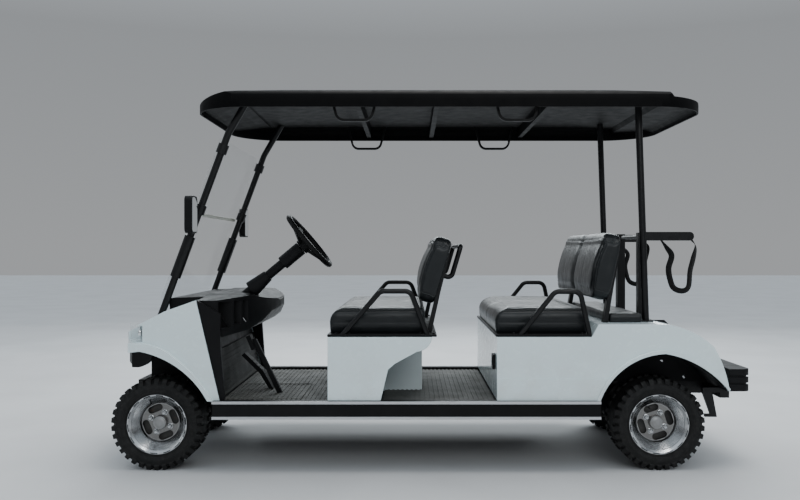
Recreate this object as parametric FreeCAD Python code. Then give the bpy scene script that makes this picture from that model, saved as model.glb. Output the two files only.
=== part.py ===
"""Four-seat electric golf cart, as separate named pieces.

Millimetres, +Z up. The cart faces -X and its left side is -Y. The ground is Z = 0.
"""
import FreeCAD, Part
import math
import os

os.makedirs("parts", exist_ok=True)
V = FreeCAD.Vector

# Running gear
WHEELBASE = 2435.0
FRONT_AXLE_X = -1305.0
REAR_AXLE_X = FRONT_AXLE_X + WHEELBASE
TRACK = 874.0
TYRE_RADIUS = 222.0
TYRE_WIDTH = 200.0
TREAD_DEPTH = 9.0
LUG_COUNT = 34
TREAD_LUG_WIDTH = 22.0
TREAD_LUG_LENGTH = 46.0
AXLE_Z = TYRE_RADIUS
RIM_SEAT_RADIUS = 127.0
RIM_LIP_RADIUS = 145.0
RIM_WIDTH = 180.0
RIM_HALF = RIM_WIDTH / 2
RIM_WALL = 6.0
DISC_DEPTH = 65.0
DISC_THICKNESS = 8.0
DISC_FACE = RIM_HALF - DISC_DEPTH
DISC_BACK = DISC_FACE - DISC_THICKNESS
DISH_RADIUS = 95.0
SLOT_CIRCLE = 70.0
SLOT_LENGTH = 74.0
SLOT_WIDTH = 34.0
SLOT_COUNT = 4
NUT_CIRCLE = 50.8
NUT_RADIUS = 10.5
NUT_HEIGHT = 16.0
CAP_RADIUS = 33.0
CAP_HEIGHT = 22.0
HUB_RADIUS = 30.0
HUB_LENGTH = 42.0
SPINDLE_RADIUS = 16.0
SPINDLE_END = DISC_FACE - 6
RUNNING_GAP = 0.3
SHAFT_FIT = 0.05

# Front axle and steering linkage
KINGPIN_RADIUS = 11.0
KINGPIN_INSET = 62.0
KINGPIN_Y = TRACK / 2 - KINGPIN_INSET
KNUCKLE_HALF_HEIGHT = 46.0
KNUCKLE_RADIUS = 22.0
YOKE_THICKNESS = 12.0
YOKE_WEB = 18.0
YOKE_CLEARANCE = 6.0
BEAM_HALF = 22.0
STEER_ARM = 80.0
STEER_ARM_HALF = 14.0
TIE_ROD_RADIUS = 9.0
TIE_ROD_DROP = 30.0
TIE_EYE_RADIUS = 17.0
TIE_EYE_HEIGHT = 20.0
TIE_PIN_RADIUS = 8.0

# Rear axle
AXLE_TUBE_RADIUS = 36.0
DRUM_RADIUS = 92.0
MOTOR_RADIUS = 92.0
MOTOR_REACH = 300.0
MOTOR_RISE = 30.0
GEARCASE_RADIUS = 105.0
GEARCASE_HALF = 75.0

# Frame and springs
RAIL_Y = 195.0
RAIL_WIDTH = 50.0
RAIL_HEIGHT = 70.0
RAIL_TOP_Z = 312.0
RAIL_LOW_Z = RAIL_TOP_Z - RAIL_HEIGHT
RAIL_KICK = 80.0
RAIL_SLOPE = 70.0
RAIL_FRONT_X = FRONT_AXLE_X - 190.0
RAIL_REAR_X = REAR_AXLE_X + 360.0
CROSS_WIDTH = 45.0
SPRING_HALF = 180.0
SPRING_WIDTH = 44.0
LEAF = 10.0
SPRING_SEAT_GAP = 0.8
SPRING_EYE_RADIUS = 14.0
SPRING_EYE_Z = RAIL_LOW_Z - SPRING_EYE_RADIUS - LEAF

# Floor
FLOOR_THICKNESS = 12.0
FLOOR_TOP_Z = RAIL_TOP_Z + FLOOR_THICKNESS
MAT_THICKNESS = 8.0
RIB_PITCH = 24.0
RIB_WIDTH = 12.0
RIB_HEIGHT = 3.0
SILL_TOP_Z = 347.0
SILL_BOTTOM_Z = 261.0
SILL_WIDTH = 46.0
TRIM_HEIGHT = 13.0
TRIM_THICKNESS = 4.0
TOE_TOP_X = FRONT_AXLE_X + 223.0
TOE_TOP_Z = 690.0
TOE_THICKNESS = 10.0
WHEELHOUSE_Y = 226.0

# Body
BODY_HALF_WIDTH = 572.0
FLARE_OUT = 24.0
PANEL = 6.0
NOSE_REACH = 258.0
CORNER_REACH = 117.0
CORNER_ROUND = 75.0
SILL_OUTER = BODY_HALF_WIDTH + FLARE_OUT
SILL_INNER = SILL_OUTER - SILL_WIDTH
SILL_FRONT_X = FRONT_AXLE_X + 283.0
SILL_REAR_X = REAR_AXLE_X - 298.0
POD_TOP_Z = 651.0
DECK_Z = 712.0
LAMP_LOW_Z = 627.0
LAMP_HIGH_Z = 705.0
LAMP_WIDTH = 147.0
LAMP_BACK_X = FRONT_AXLE_X - 55.0
LAMP_GAP = 0.8
BUMPER_TOP_Z = 577.0
BUMPER_LOW_Z = 508.0
BUMPER_INSET = 7.0
BUMPER_WALL = 24.0

# Seats
FRONT_SEAT_X = FRONT_AXLE_X + 833.0
REAR_SEAT_X = REAR_AXLE_X - 791.0
SEAT_HALF_WIDTH = 500.0
CUSHION_HEIGHT = 128.0
FRONT_CUSHION_LENGTH = 470.0
REAR_CUSHION_LENGTH = 450.0
SEAT_BASE_THICKNESS = 12.0
BASE_TOP_Z = POD_TOP_Z + SEAT_BASE_THICKNESS
SEAT_BASE_HALF = SEAT_HALF_WIDTH + 66.0
BACK_THICKNESS = 88.0
BACK_BULGE = 16.0
BACK_HEIGHT = 335.0
BACK_CORNER = 70.0
FRONT_BACK = {"foot": (FRONT_SEAT_X + 462.0, 812.0), "lean": 16.5, "leg_x": FRONT_SEAT_X + 476.0}
REAR_BACK = {"foot": (REAR_SEAT_X + 504.0, 826.0), "lean": 12.5, "leg_x": REAR_SEAT_X + 530.0}
SUPPORT_Y = SEAT_HALF_WIDTH - 45.0
SUPPORT_WIDTH = 40.0
SUPPORT_THICKNESS = 12.0
SHELL_THICKNESS = 6.0
ARMREST_Y = SEAT_HALF_WIDTH + 48.0
TUBE_RADIUS = 12.5
HANDRAIL_Y = 360.0
POD_LENGTH = 499.0
POD_SIDE = 26.0
BOX_HALF_WIDTH = 182.0
BOX_REAR_X = FRONT_SEAT_X + POD_LENGTH - 42.0
BATTERY_LENGTH = 340.0
BATTERY_HEIGHT = 250.0

# Steering wheel
STEER_CENTRE = V(FRONT_AXLE_X + 706.0, -255.0, 1115.0)
STEER_RADIUS = 174.0
STEER_RIM = 14.0
COLUMN_ANGLE = 40.0
COLUMN_RADIUS = 24.0
COLUMN_LENGTH = 400.0
STEER_GAP = 6.0
STEER_AXIS = V(math.cos(math.radians(COLUMN_ANGLE)), 0, math.sin(math.radians(COLUMN_ANGLE)))
HUB_DROP = 36.0
SHAFT_RADIUS = 11.0
WHEEL_HUB_RADIUS = 40.0
WHEEL_HUB_HEIGHT = 34.0

# Roof, struts and rack
ROOF_FRONT_X = FRONT_AXLE_X + 168.0
ROOF_REAR_X = REAR_AXLE_X + 242.0
ROOF_HALF_WIDTH = BODY_HALF_WIDTH + 40.0
ROOF_LIP_Z = 1748.0
ROOF_EDGE_Z = 1829.0
ROOF_CROWN_Z = 1840.0
ROOF_SKIN = 8.0
STRUT_RADIUS = 17.0
STRUT_Y = BODY_HALF_WIDTH - 88.0
STRUT_FOOT = (FRONT_AXLE_X + 22.0, 785.0)
STRUT_TOP = (FRONT_AXLE_X + 338.0, 1641.0)
SLEEVE_RADIUS = 26.0
PANE = 5.0
WINDSHIELD_LOW_Z = 812.0
SEAM_Z = 1227.0
PANE_TOP_Z = 1610.0
REAR_STRUT_FOOT_X = REAR_AXLE_X - 33.0
REAR_STRUT_TOP_X = REAR_AXLE_X - 72.0
RACK_LOW_Z = 1115.0
RACK_HIGH_Z = 1158.0
RACK_REAR_X = REAR_AXLE_X + 203.0
RACK_POST_X = REAR_AXLE_X + 1.0
RACK_POST_Y = 215.0

# Rear fittings
REAR_END = 322.0
REAR_LIP = 16.0
WELL_HALF = BODY_HALF_WIDTH - 254.0
REAR_STRUT_Y = WELL_HALF + 94.0
WELL_FRONT_X = REAR_AXLE_X + 28.0
WELL_FLOOR_Z = 452.0
SKIRT_TOP_Z = 450.0
SKIRT_OUT = 6.0
LINER = 5.0
LINER_INNER_Y = WELL_HALF + 7.0
STAY_Y = BODY_HALF_WIDTH - 110.0
STAY_HALF = 10.0
BUMPER_REAR_X = REAR_AXLE_X + 465.0
BUMPER_REAR_HALF = BODY_HALF_WIDTH - 92.0
BUMPER_REAR_LOW_Z = 374.0
BUMPER_REAR_HIGH_Z = 484.0
EDGE = 1e-6


def export(name, *solids):
    """Write one node: a single solid, or several solids that don't touch."""
    shape = solids[0] if len(solids) == 1 else Part.makeCompound(list(solids))
    if not shape.isValid():
        raise ValueError(name + " is not a valid shape")
    shape.exportStep("parts/" + name + ".step")
    count = len(shape.Solids)
    print(name, "solids", count, "volume", round(shape.Volume / 1e6, 2), "litres")


def block(x0, x1, y0, y1, z0, z1):
    """A box between its low and high corners."""
    return Part.makeBox(x1 - x0, y1 - y0, z1 - z0, V(x0, y0, z0))


def sided(side, inner, outer):
    """The low and high Y of something between two distances out from the middle, on one side."""
    return sorted((side * inner, side * outer))


def rod(start, end, radius):
    """A round bar from one point to another."""
    start = V(*start)
    along = V(*end) - start
    return Part.makeCylinder(radius, along.Length, start, along)


def fuse(*shapes):
    """Join touching solids into one, without the seams between coplanar faces."""
    return shapes[0].fuse(list(shapes[1:])).removeSplitter()


def largest(shape):
    """The main solid of a cut, without the offcuts."""
    return max(shape.Solids, key=lambda solid: solid.Volume)


def in_plane(plane, a, b):
    """A point from its two coordinates in a plane."""
    return {"xz": V(a, 0, b), "xy": V(a, b, 0), "yz": V(0, a, b)}[plane]


def wire_of(points, plane):
    """Close an outline. Each row is an end point, or a point to pass through and an end point."""
    here = in_plane(plane, *points[0])
    first = here
    edges = []
    for row in points[1:]:
        there = in_plane(plane, *row[-2:])
        if len(row) == 4:
            edges.append(Part.Arc(here, in_plane(plane, *row[:2]), there).toShape())
        else:
            edges.append(Part.LineSegment(here, there).toShape())
        here = there
    if (here - first).Length > EDGE:
        edges.append(Part.LineSegment(here, first).toShape())
    return Part.Wire(edges)


def slab(points, plane, low, high):
    """An outline pushed through from low to high, across the plane it is drawn in."""
    across_plane = {"xz": V(0, 1, 0), "xy": V(0, 0, 1), "yz": V(1, 0, 0)}[plane]
    face = Part.Face(wire_of(points, plane))
    face.translate(across_plane * low)
    return face.extrude(across_plane * (high - low))


def both_sides(points, inner, outer):
    """The same XZ outline as a slab on the left and on the right."""
    return [slab(points, "xz", *sided(side, inner, outer)) for side in (-1, 1)]


def spin(points):
    """A closed profile of (along X, radius) rows turned about the X axis."""
    return Part.Face(wire_of(points, "xz")).revolve(V(0, 0, 0), V(1, 0, 0), 360)


def stand(shape, centre, axis):
    """A turned piece put in its place, its own X axis along the one given."""
    shape.Placement = FreeCAD.Placement(V(*centre), FreeCAD.Rotation(V(1, 0, 0), V(*axis)))
    return shape


def bent_bar(points, bend, section):
    """A bar through the points, each inner corner rounded to the bend radius.

    The section is a radius, or the half width and half height of a flat bar.
    """
    points = [V(*point) for point in points]
    edges = []
    here = points[0]
    for before, corner, after in zip(points, points[1:], points[2:]):
        into = (corner - before).normalize()
        out = (after - corner).normalize()
        turn = into.getAngle(out)
        reach = bend * math.tan(turn / 2)
        start = corner - into * reach
        end = corner + out * reach
        inward = (out - into).normalize()
        middle = corner + inward * (bend / math.cos(turn / 2) - bend)
        edges.append(Part.LineSegment(here, start).toShape())
        edges.append(Part.Arc(start, middle, end).toShape())
        here = end
    edges.append(Part.LineSegment(here, points[-1]).toShape())
    ahead = (points[1] - points[0]).normalize()
    if isinstance(section, tuple):
        wide = V(0, 1, 0) * section[0]
        high = ahead.cross(V(0, 1, 0)) * section[1]
        corners = [points[0] + wide * a + high * b for a, b in ((-1, -1), (1, -1), (1, 1), (-1, 1))]
        profile = Part.makePolygon(corners + corners[:1])
    else:
        profile = Part.Wire(Part.makeCircle(section, points[0], ahead))
    return Part.Wire(edges).makePipeShell([profile], True, True)


def rounded(shape, radius, along):
    """Round the straight edges that run along one axis."""
    chosen = []
    for edge in shape.Edges:
        if edge.Curve.TypeId == "Part::GeomLine":
            direction = edge.tangentAt(edge.FirstParameter)
            if abs(abs(direction.dot(V(*along))) - 1) < EDGE:
                chosen.append(edge)
    return shape.makeFillet(radius, chosen)


def round_cornered(a0, a1, b0, b1, turn):
    """The outline of a rectangle with its corners rounded."""
    short = turn * (1 - math.sqrt(0.5))
    return [(a0, b0 + turn), (a0 + short, b0 + short, a0 + turn, b0), (a1 - turn, b0),
            (a1 - short, b0 + short, a1, b0 + turn), (a1, b1 - turn), (a1 - short, b1 - short, a1 - turn, b1),
            (a0 + turn, b1), (a0 + short, b1 - short, a0, b1 - turn)]


def from_axle(axle_x):
    """A function that places a point by its distance behind an axle, as (X, Z)."""
    def at(dx, z):
        return (axle_x + dx, z)
    return at


front_at = from_axle(FRONT_AXLE_X)
rear_at = from_axle(REAR_AXLE_X)


def tread_lug(inner):
    """One shoulder lug, from a distance off the tyre's middle out over its shoulder."""
    half = TYRE_WIDTH / 2
    top = math.sqrt(TYRE_RADIUS ** 2 - (TREAD_LUG_WIDTH / 2) ** 2)
    root = TYRE_RADIUS - 2 * TREAD_DEPTH
    outline = [(inner, root), (half - 4, root - 12), (half - 1, root - 4), (half - 12, top), (inner, top)]
    return slab(outline, "xz", -TREAD_LUG_WIDTH / 2, TREAD_LUG_WIDTH / 2)


def tyre_form():
    """A low all-terrain tyre, filled, seated between the rim's flanges, with its shoulder lugs."""
    half = TYRE_WIDTH / 2
    seat = RIM_HALF - 12
    base = TYRE_RADIUS - TREAD_DEPTH
    right = [(seat, RIM_SEAT_RADIUS), (RIM_HALF - 8, RIM_LIP_RADIUS), (RIM_HALF, RIM_LIP_RADIUS + 4),
             (half, RIM_LIP_RADIUS + 31), (half - 4, base - 17), (half - 24, base)]
    left = [(-x, radius) for x, radius in reversed(right)]
    lugs = []
    for number in range(LUG_COUNT):
        inner = half - TREAD_LUG_LENGTH - (number % 2) * 12
        turn = 360 / LUG_COUNT
        outer_side = tread_lug(inner)
        inner_side = outer_side.mirror(V(0, 0, 0), V(1, 0, 0))
        lugs.append(outer_side.rotated(V(0, 0, 0), V(1, 0, 0), number * turn))
        lugs.append(inner_side.rotated(V(0, 0, 0), V(1, 0, 0), (number + 0.5) * turn))
    return spin(right + left).fuse(lugs)


def oval_slot(length, width, depth):
    """A slot's tool: rounded ends, lying along Y, pushed along X."""
    reach = (length - width) / 2
    outline = [(-reach, -width / 2), (reach, -width / 2), (reach + width / 2, 0, reach, width / 2),
               (-reach, width / 2), (-reach - width / 2, 0, -reach, -width / 2)]
    return slab(outline, "yz", 0, depth)


def rim_form(slot_turn):
    """An alloy rim: lips, deep dish, disc with oval slots, centre cap, wheel nuts and hub boss."""
    bore = SPINDLE_RADIUS + SHAFT_FIT
    blind = DISC_FACE - 4
    hub_end = DISC_BACK - HUB_LENGTH
    cap_top = DISC_FACE + CAP_HEIGHT
    seat = RIM_HALF - 12
    lip = RIM_LIP_RADIUS - 6
    profile = [(hub_end, bore), (blind, bore), (blind, 0), (cap_top, 0), (cap_top, CAP_RADIUS - 7),
               (cap_top - 6, CAP_RADIUS), (DISC_FACE, CAP_RADIUS), (DISC_FACE, DISH_RADIUS - 3),
               (DISC_FACE + 14, DISH_RADIUS + 2), (seat, RIM_SEAT_RADIUS + 1), (RIM_HALF, lip),
               (RIM_HALF, RIM_LIP_RADIUS), (RIM_HALF - 8, RIM_LIP_RADIUS), (seat, RIM_SEAT_RADIUS),
               (-seat, RIM_SEAT_RADIUS), (8 - RIM_HALF, RIM_LIP_RADIUS), (-RIM_HALF, RIM_LIP_RADIUS),
               (-RIM_HALF, lip), (-seat, RIM_SEAT_RADIUS - RIM_WALL), (DISC_BACK, RIM_SEAT_RADIUS - RIM_WALL),
               (DISC_BACK, HUB_RADIUS), (hub_end, HUB_RADIUS)]
    slot = oval_slot(SLOT_LENGTH, SLOT_WIDTH, DISC_THICKNESS + 2)
    slot.translate(V(DISC_BACK - 1, 0, SLOT_CIRCLE))
    nut = Part.makeCylinder(NUT_RADIUS, NUT_HEIGHT, V(DISC_FACE - 1, 0, NUT_CIRCLE), V(1, 0, 0))
    slots = []
    nuts = []
    step = 360 / SLOT_COUNT
    for number in range(SLOT_COUNT):
        slots.append(slot.rotated(V(0, 0, 0), V(1, 0, 0), slot_turn + number * step))
        nuts.append(nut.rotated(V(0, 0, 0), V(1, 0, 0), slot_turn + (number + 0.5) * step))
    return spin(profile).cut(slots).fuse(nuts)


def wheels():
    """Four wheels. Columns: name, axle X, side, turn of the slots."""
    table = [("front_left", FRONT_AXLE_X, -1, 22.0), ("front_right", FRONT_AXLE_X, 1, 22.0),
             ("rear_left", REAR_AXLE_X, -1, 17.5), ("rear_right", REAR_AXLE_X, 1, 17.5)]
    tyre = tyre_form()
    for name, x, side, turn in table:
        centre = (x, side * TRACK / 2, AXLE_Z)
        export("tyre_" + name, stand(tyre.copy(), centre, (0, side, 0)))
        export("rim_" + name, stand(rim_form(turn), centre, (0, side, 0)))


def front_axle():
    """The front beam, with a yoke and kingpin at each end."""
    x = FRONT_AXLE_X
    top = KNUCKLE_HALF_HEIGHT + RUNNING_GAP
    web_inner = KINGPIN_Y - KNUCKLE_RADIUS - YOKE_CLEARANCE - YOKE_WEB
    pieces = [block(x - BEAM_HALF, x + BEAM_HALF, -web_inner - YOKE_WEB / 2, web_inner + YOKE_WEB / 2,
                    AXLE_Z - BEAM_HALF, AXLE_Z + BEAM_HALF)]
    for side in (-1, 1):
        y = side * KINGPIN_Y
        low, high = sided(side, web_inner, web_inner + YOKE_WEB)
        pieces.append(block(x - KNUCKLE_RADIUS, x + KNUCKLE_RADIUS, low, high,
                            AXLE_Z - top - YOKE_THICKNESS, AXLE_Z + top + YOKE_THICKNESS))
        low, high = sided(side, web_inner, KINGPIN_Y)
        for z in (AXLE_Z + top, AXLE_Z - top - YOKE_THICKNESS):
            pieces.append(block(x - KNUCKLE_RADIUS, x + KNUCKLE_RADIUS, low, high, z, z + YOKE_THICKNESS))
            pieces.append(Part.makeCylinder(KNUCKLE_RADIUS, YOKE_THICKNESS, V(x, y, z)))
        foot = AXLE_Z - top - YOKE_THICKNESS
        pieces.append(Part.makeCylinder(KINGPIN_RADIUS, 2 * (top + YOKE_THICKNESS), V(x, y, foot)))
    export("front_axle", fuse(*pieces))


def knuckle(side):
    """A steering knuckle: barrel on the kingpin, wheel spindle, and an arm with the tie rod's pin."""
    x = FRONT_AXLE_X
    y = side * KINGPIN_Y
    low = AXLE_Z - KNUCKLE_HALF_HEIGHT
    arm_top = AXLE_Z - TIE_ROD_DROP
    tip_x = x + STEER_ARM
    spindle_end = side * (TRACK / 2 + SPINDLE_END)
    body = fuse(Part.makeCylinder(KNUCKLE_RADIUS, 2 * KNUCKLE_HALF_HEIGHT, V(x, y, low)),
                rod((x, y, AXLE_Z), (x, spindle_end, AXLE_Z), SPINDLE_RADIUS),
                block(x, tip_x, y - STEER_ARM_HALF, y + STEER_ARM_HALF, low, arm_top),
                Part.makeCylinder(STEER_ARM_HALF, arm_top - low, V(tip_x, y, low)),
                Part.makeCylinder(TIE_PIN_RADIUS, TIE_EYE_HEIGHT + 4, V(tip_x, y, arm_top)))
    bore = Part.makeCylinder(KINGPIN_RADIUS + SHAFT_FIT, 2 * KNUCKLE_HALF_HEIGHT, V(x, y, low))
    return body.cut(bore)


def tie_rod():
    """The rod between the steering arms, with an eye on each arm's pin."""
    x = FRONT_AXLE_X + STEER_ARM
    bottom = AXLE_Z - TIE_ROD_DROP + RUNNING_GAP
    middle = bottom + TIE_EYE_HEIGHT / 2
    pieces = [rod((x, -KINGPIN_Y, middle), (x, KINGPIN_Y, middle), TIE_ROD_RADIUS)]
    bores = []
    for side, fit in ((-1, SHAFT_FIT), (1, RUNNING_GAP)):
        place = V(x, side * KINGPIN_Y, bottom)
        pieces.append(Part.makeCylinder(TIE_EYE_RADIUS, TIE_EYE_HEIGHT, place))
        bores.append(Part.makeCylinder(TIE_PIN_RADIUS + fit, TIE_EYE_HEIGHT, place))
    export("tie_rod", fuse(*pieces).cut(bores))


def rear_axle():
    """The driven axle: tube, gearcase, motor, brake drums and the stub shafts for the wheels."""
    x = REAR_AXLE_X
    shaft_end = TRACK / 2 + SPINDLE_END
    drum_end = TRACK / 2 + DISC_BACK - HUB_LENGTH - 2
    drum_start = TRACK / 2 - RIM_HALF - 4
    parts = [rod((x, -drum_start, AXLE_Z), (x, drum_start, AXLE_Z), AXLE_TUBE_RADIUS),
             rod((x, -shaft_end, AXLE_Z), (x, shaft_end, AXLE_Z), SPINDLE_RADIUS),
             rod((x, -GEARCASE_HALF, AXLE_Z), (x, GEARCASE_HALF, AXLE_Z), GEARCASE_RADIUS),
             rod((x, 0, AXLE_Z + 10), (x - MOTOR_REACH, 0, AXLE_Z + 10 + MOTOR_RISE), MOTOR_RADIUS)]
    for side in (-1, 1):
        parts.append(rod((x, side * drum_start, AXLE_Z), (x, side * drum_end, AXLE_Z), DRUM_RADIUS))
    export("rear_axle", fuse(*parts))


def chassis_frame():
    """Two steel rails that rise over both axles, with cross members, outriggers and the rear stays."""
    low = RAIL_LOW_Z
    high = RAIL_TOP_Z
    front_drop = FRONT_AXLE_X + SPRING_HALF - 30
    rear_rise = REAR_AXLE_X - SPRING_HALF + 30
    corner = 12
    profile = [(RAIL_FRONT_X, low + RAIL_KICK), (front_drop - RAIL_SLOPE, low + RAIL_KICK), (front_drop, low),
               (rear_rise, low), (rear_rise + RAIL_SLOPE, low + RAIL_KICK), (RAIL_REAR_X, low + RAIL_KICK),
               (RAIL_REAR_X, high + RAIL_KICK), (rear_rise + RAIL_SLOPE - corner, high + RAIL_KICK),
               (rear_rise - corner, high), (front_drop + corner, high),
               (front_drop - RAIL_SLOPE + corner, high + RAIL_KICK), (RAIL_FRONT_X, high + RAIL_KICK)]
    half = RAIL_WIDTH / 2
    pieces = both_sides(profile, RAIL_Y - half, RAIL_Y + half)
    plate = (RAIL_WIDTH - SPRING_WIDTH) / 2
    for axle in (FRONT_AXLE_X, REAR_AXLE_X):
        for end in (-1, 1):
            kicked = (end < 0) == (axle == FRONT_AXLE_X)
            top = low + 5 + (RAIL_KICK if kicked else 0)
            x = axle + end * SPRING_HALF
            for y in (-RAIL_Y - half, half - RAIL_Y - plate, RAIL_Y - half, RAIL_Y + half - plate):
                pieces.append(block(x - SPRING_EYE_RADIUS, x + SPRING_EYE_RADIUS, y, y + plate,
                                    SPRING_EYE_Z - SPRING_EYE_RADIUS, top))
    for x in (SILL_FRONT_X + 5, FRONT_SEAT_X + 30, REAR_SEAT_X, SILL_REAR_X - 105):
        pieces.append(block(x, x + CROSS_WIDTH, -SILL_INNER, SILL_INNER, high - CROSS_WIDTH, high))
    kick_low = low + RAIL_KICK
    kick_high = high + RAIL_KICK
    pieces.append(block(RAIL_FRONT_X, RAIL_FRONT_X + CROSS_WIDTH, -RAIL_Y, RAIL_Y, kick_low, kick_high))
    stay_end = STAY_Y + STAY_HALF
    pieces.append(block(RAIL_REAR_X - CROSS_WIDTH, RAIL_REAR_X, -stay_end, stay_end, kick_low + 20, kick_high))
    stay = [(RAIL_REAR_X, kick_high), (RAIL_REAR_X - 130, kick_high), (RAIL_REAR_X - 130, kick_high - 24),
            (RAIL_REAR_X - 92, 262), (RAIL_REAR_X - 118, 262), (RAIL_REAR_X - 118, 248),
            (RAIL_REAR_X - 60, 248), (RAIL_REAR_X - 82, kick_high - 24), (RAIL_REAR_X, kick_high - 24)]
    pieces += both_sides(stay, STAY_Y - STAY_HALF, STAY_Y + STAY_HALF)
    export("chassis_frame", fuse(*pieces))


def leaf_springs():
    """Leaf springs over both axles, between the rails' hangers."""
    springs = []
    for axle, seat in ((FRONT_AXLE_X, AXLE_Z + BEAM_HALF), (REAR_AXLE_X, AXLE_Z + AXLE_TUBE_RADIUS)):
        seat += SPRING_SEAT_GAP
        start = axle - SPRING_HALF
        end = axle + SPRING_HALF
        profile = [(start, SPRING_EYE_Z - LEAF / 2), (axle, seat, end, SPRING_EYE_Z - LEAF / 2),
                   (end, SPRING_EYE_Z + LEAF / 2), (axle, seat + LEAF, start, SPRING_EYE_Z + LEAF / 2)]
        for side in (-1, 1):
            low = side * RAIL_Y - SPRING_WIDTH / 2
            eyes = [rod((x, low, SPRING_EYE_Z), (x, low + SPRING_WIDTH, SPRING_EYE_Z), SPRING_EYE_RADIUS)
                    for x in (start, end)]
            springs.append(fuse(slab(profile, "xz", low, low + SPRING_WIDTH), *eyes))
    export("leaf_springs", *springs)


def floor_pan():
    """The floor with its sloping toe board, and the inner walls of the front wheelhouses."""
    front = SILL_FRONT_X + 2
    rear = REAR_SEAT_X + 440
    profile = [(front, RAIL_TOP_Z), (rear, RAIL_TOP_Z), (rear, FLOOR_TOP_Z), (front + TOE_THICKNESS, FLOOR_TOP_Z),
               (TOE_TOP_X + TOE_THICKNESS, TOE_TOP_Z), (TOE_TOP_X, TOE_TOP_Z), (front, FLOOR_TOP_Z)]
    wall_low = RAIL_TOP_Z + RAIL_KICK
    wall = [front_at(-120, wall_low), (front - 60, wall_low), (front, FLOOR_TOP_Z + 40),
            (TOE_TOP_X + 4, TOE_TOP_Z - 4), front_at(-120, TOE_TOP_Z - 60)]
    half = PANEL / 2
    walls = both_sides(wall, WHEELHOUSE_Y - half, WHEELHOUSE_Y + half)
    export("floor_pan", fuse(slab(profile, "xz", -SILL_INNER, SILL_INNER), *walls))


def ribbed_mat(x0, x1, z):
    """A mat's outline with raised ribs across the cart."""
    base = z + MAT_THICKNESS
    count = int((x1 - x0 - RIB_WIDTH) // RIB_PITCH)
    margin = (x1 - x0 - count * RIB_PITCH) / 2
    points = [(x0, z), (x1, z), (x1, base)]
    for number in range(count, 0, -1):
        left = x0 + number * RIB_PITCH - margin
        right = left + RIB_WIDTH
        points += [(right, base), (right, base + RIB_HEIGHT), (left, base + RIB_HEIGHT), (left, base)]
    points.append((x0, base))
    return points


def floor_mats():
    """Rubber mats: two flat ones, and one that climbs the toe board."""
    half = SILL_INNER - 4
    toe_x = SILL_FRONT_X + 2 + TOE_THICKNESS
    front = slab(ribbed_mat(toe_x + 8, FRONT_SEAT_X - 2, FLOOR_TOP_Z), "xz", -half, half)
    rear = slab(ribbed_mat(FRONT_SEAT_X + 262, REAR_SEAT_X - 2, FLOOR_TOP_Z), "xz", -half, half)
    box = BOX_HALF_WIDTH + 4
    rear = rear.cut(block(FRONT_SEAT_X, BOX_REAR_X + 4, -box, box, FLOOR_TOP_Z, SILL_TOP_Z))
    slope = V(TOE_TOP_X + TOE_THICKNESS - toe_x, 0, TOE_TOP_Z - FLOOR_TOP_Z)
    toe = slab(ribbed_mat(16, slope.Length - 130, 0), "xz", -half, half).mirror(V(0, 0, 0), V(0, 0, 1))
    angle = math.degrees(math.atan2(slope.z, slope.x))
    toe.Placement = FreeCAD.Placement(V(toe_x, 0, FLOOR_TOP_Z), FreeCAD.Rotation(V(0, 1, 0), -angle))
    export("floor_mats", front, rear, toe)


def sills():
    """The rockers under the door openings, and the bright strips along them."""
    rockers = []
    strips = []
    for side in (-1, 1):
        low, high = sided(side, SILL_INNER, SILL_OUTER)
        rockers.append(block(SILL_FRONT_X, SILL_REAR_X, low, high, SILL_BOTTOM_Z, SILL_TOP_Z))
        low, high = sided(side, SILL_OUTER, SILL_OUTER + TRIM_THICKNESS)
        for z in (SILL_BOTTOM_Z, SILL_TOP_Z - TRIM_HEIGHT):
            strips.append(block(SILL_FRONT_X, SILL_REAR_X, low, high, z, z + TRIM_HEIGHT))
    export("rockers", *rockers)
    export("sill_trim", *strips)


COWL_REAR_TOP = (201.0, 827.0)
COWL_REAR_FOOT = (314.0, SILL_TOP_Z)
HOOD = [(-65.0, 715.0), (50.0, 773.0)]
FRONT_ARCH = [front_at(261, SILL_TOP_Z), front_at(119, 507) + front_at(-62, 584)]
NOSE_LOW = 200.0
NOSE_HIGH = 1000.0


def nose_plan(inset, rear_x, low=NOSE_LOW, high=NOSE_HIGH):
    """The cart's front seen from above: a shallow bow with rounded corners."""
    half = BODY_HALF_WIDTH - inset
    corner = FRONT_AXLE_X - CORNER_REACH + inset
    tip = FRONT_AXLE_X - NOSE_REACH + inset
    turn = CORNER_ROUND
    outline = [(rear_x, -half), (corner + turn * 0.8, -half), (corner + 8, 17 - half, corner - 20, turn - half),
               (tip, 0, corner - 20, half - turn), (corner + 8, half - 17, corner + turn * 0.8, half),
               (rear_x, half)]
    return slab(outline, "xy", low, high)


def cowl_profile(wall):
    """The front body's nose and hood seen from the side, or the same line a wall inside it."""
    tip = -NOSE_REACH
    nose = [front_at(tip, 600 - wall / 3), front_at(tip + 13, 630 - wall) + front_at(tip + 52, 646 - wall)]
    return nose + [front_at(dx, z - wall) for dx, z in HOOD]


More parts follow.
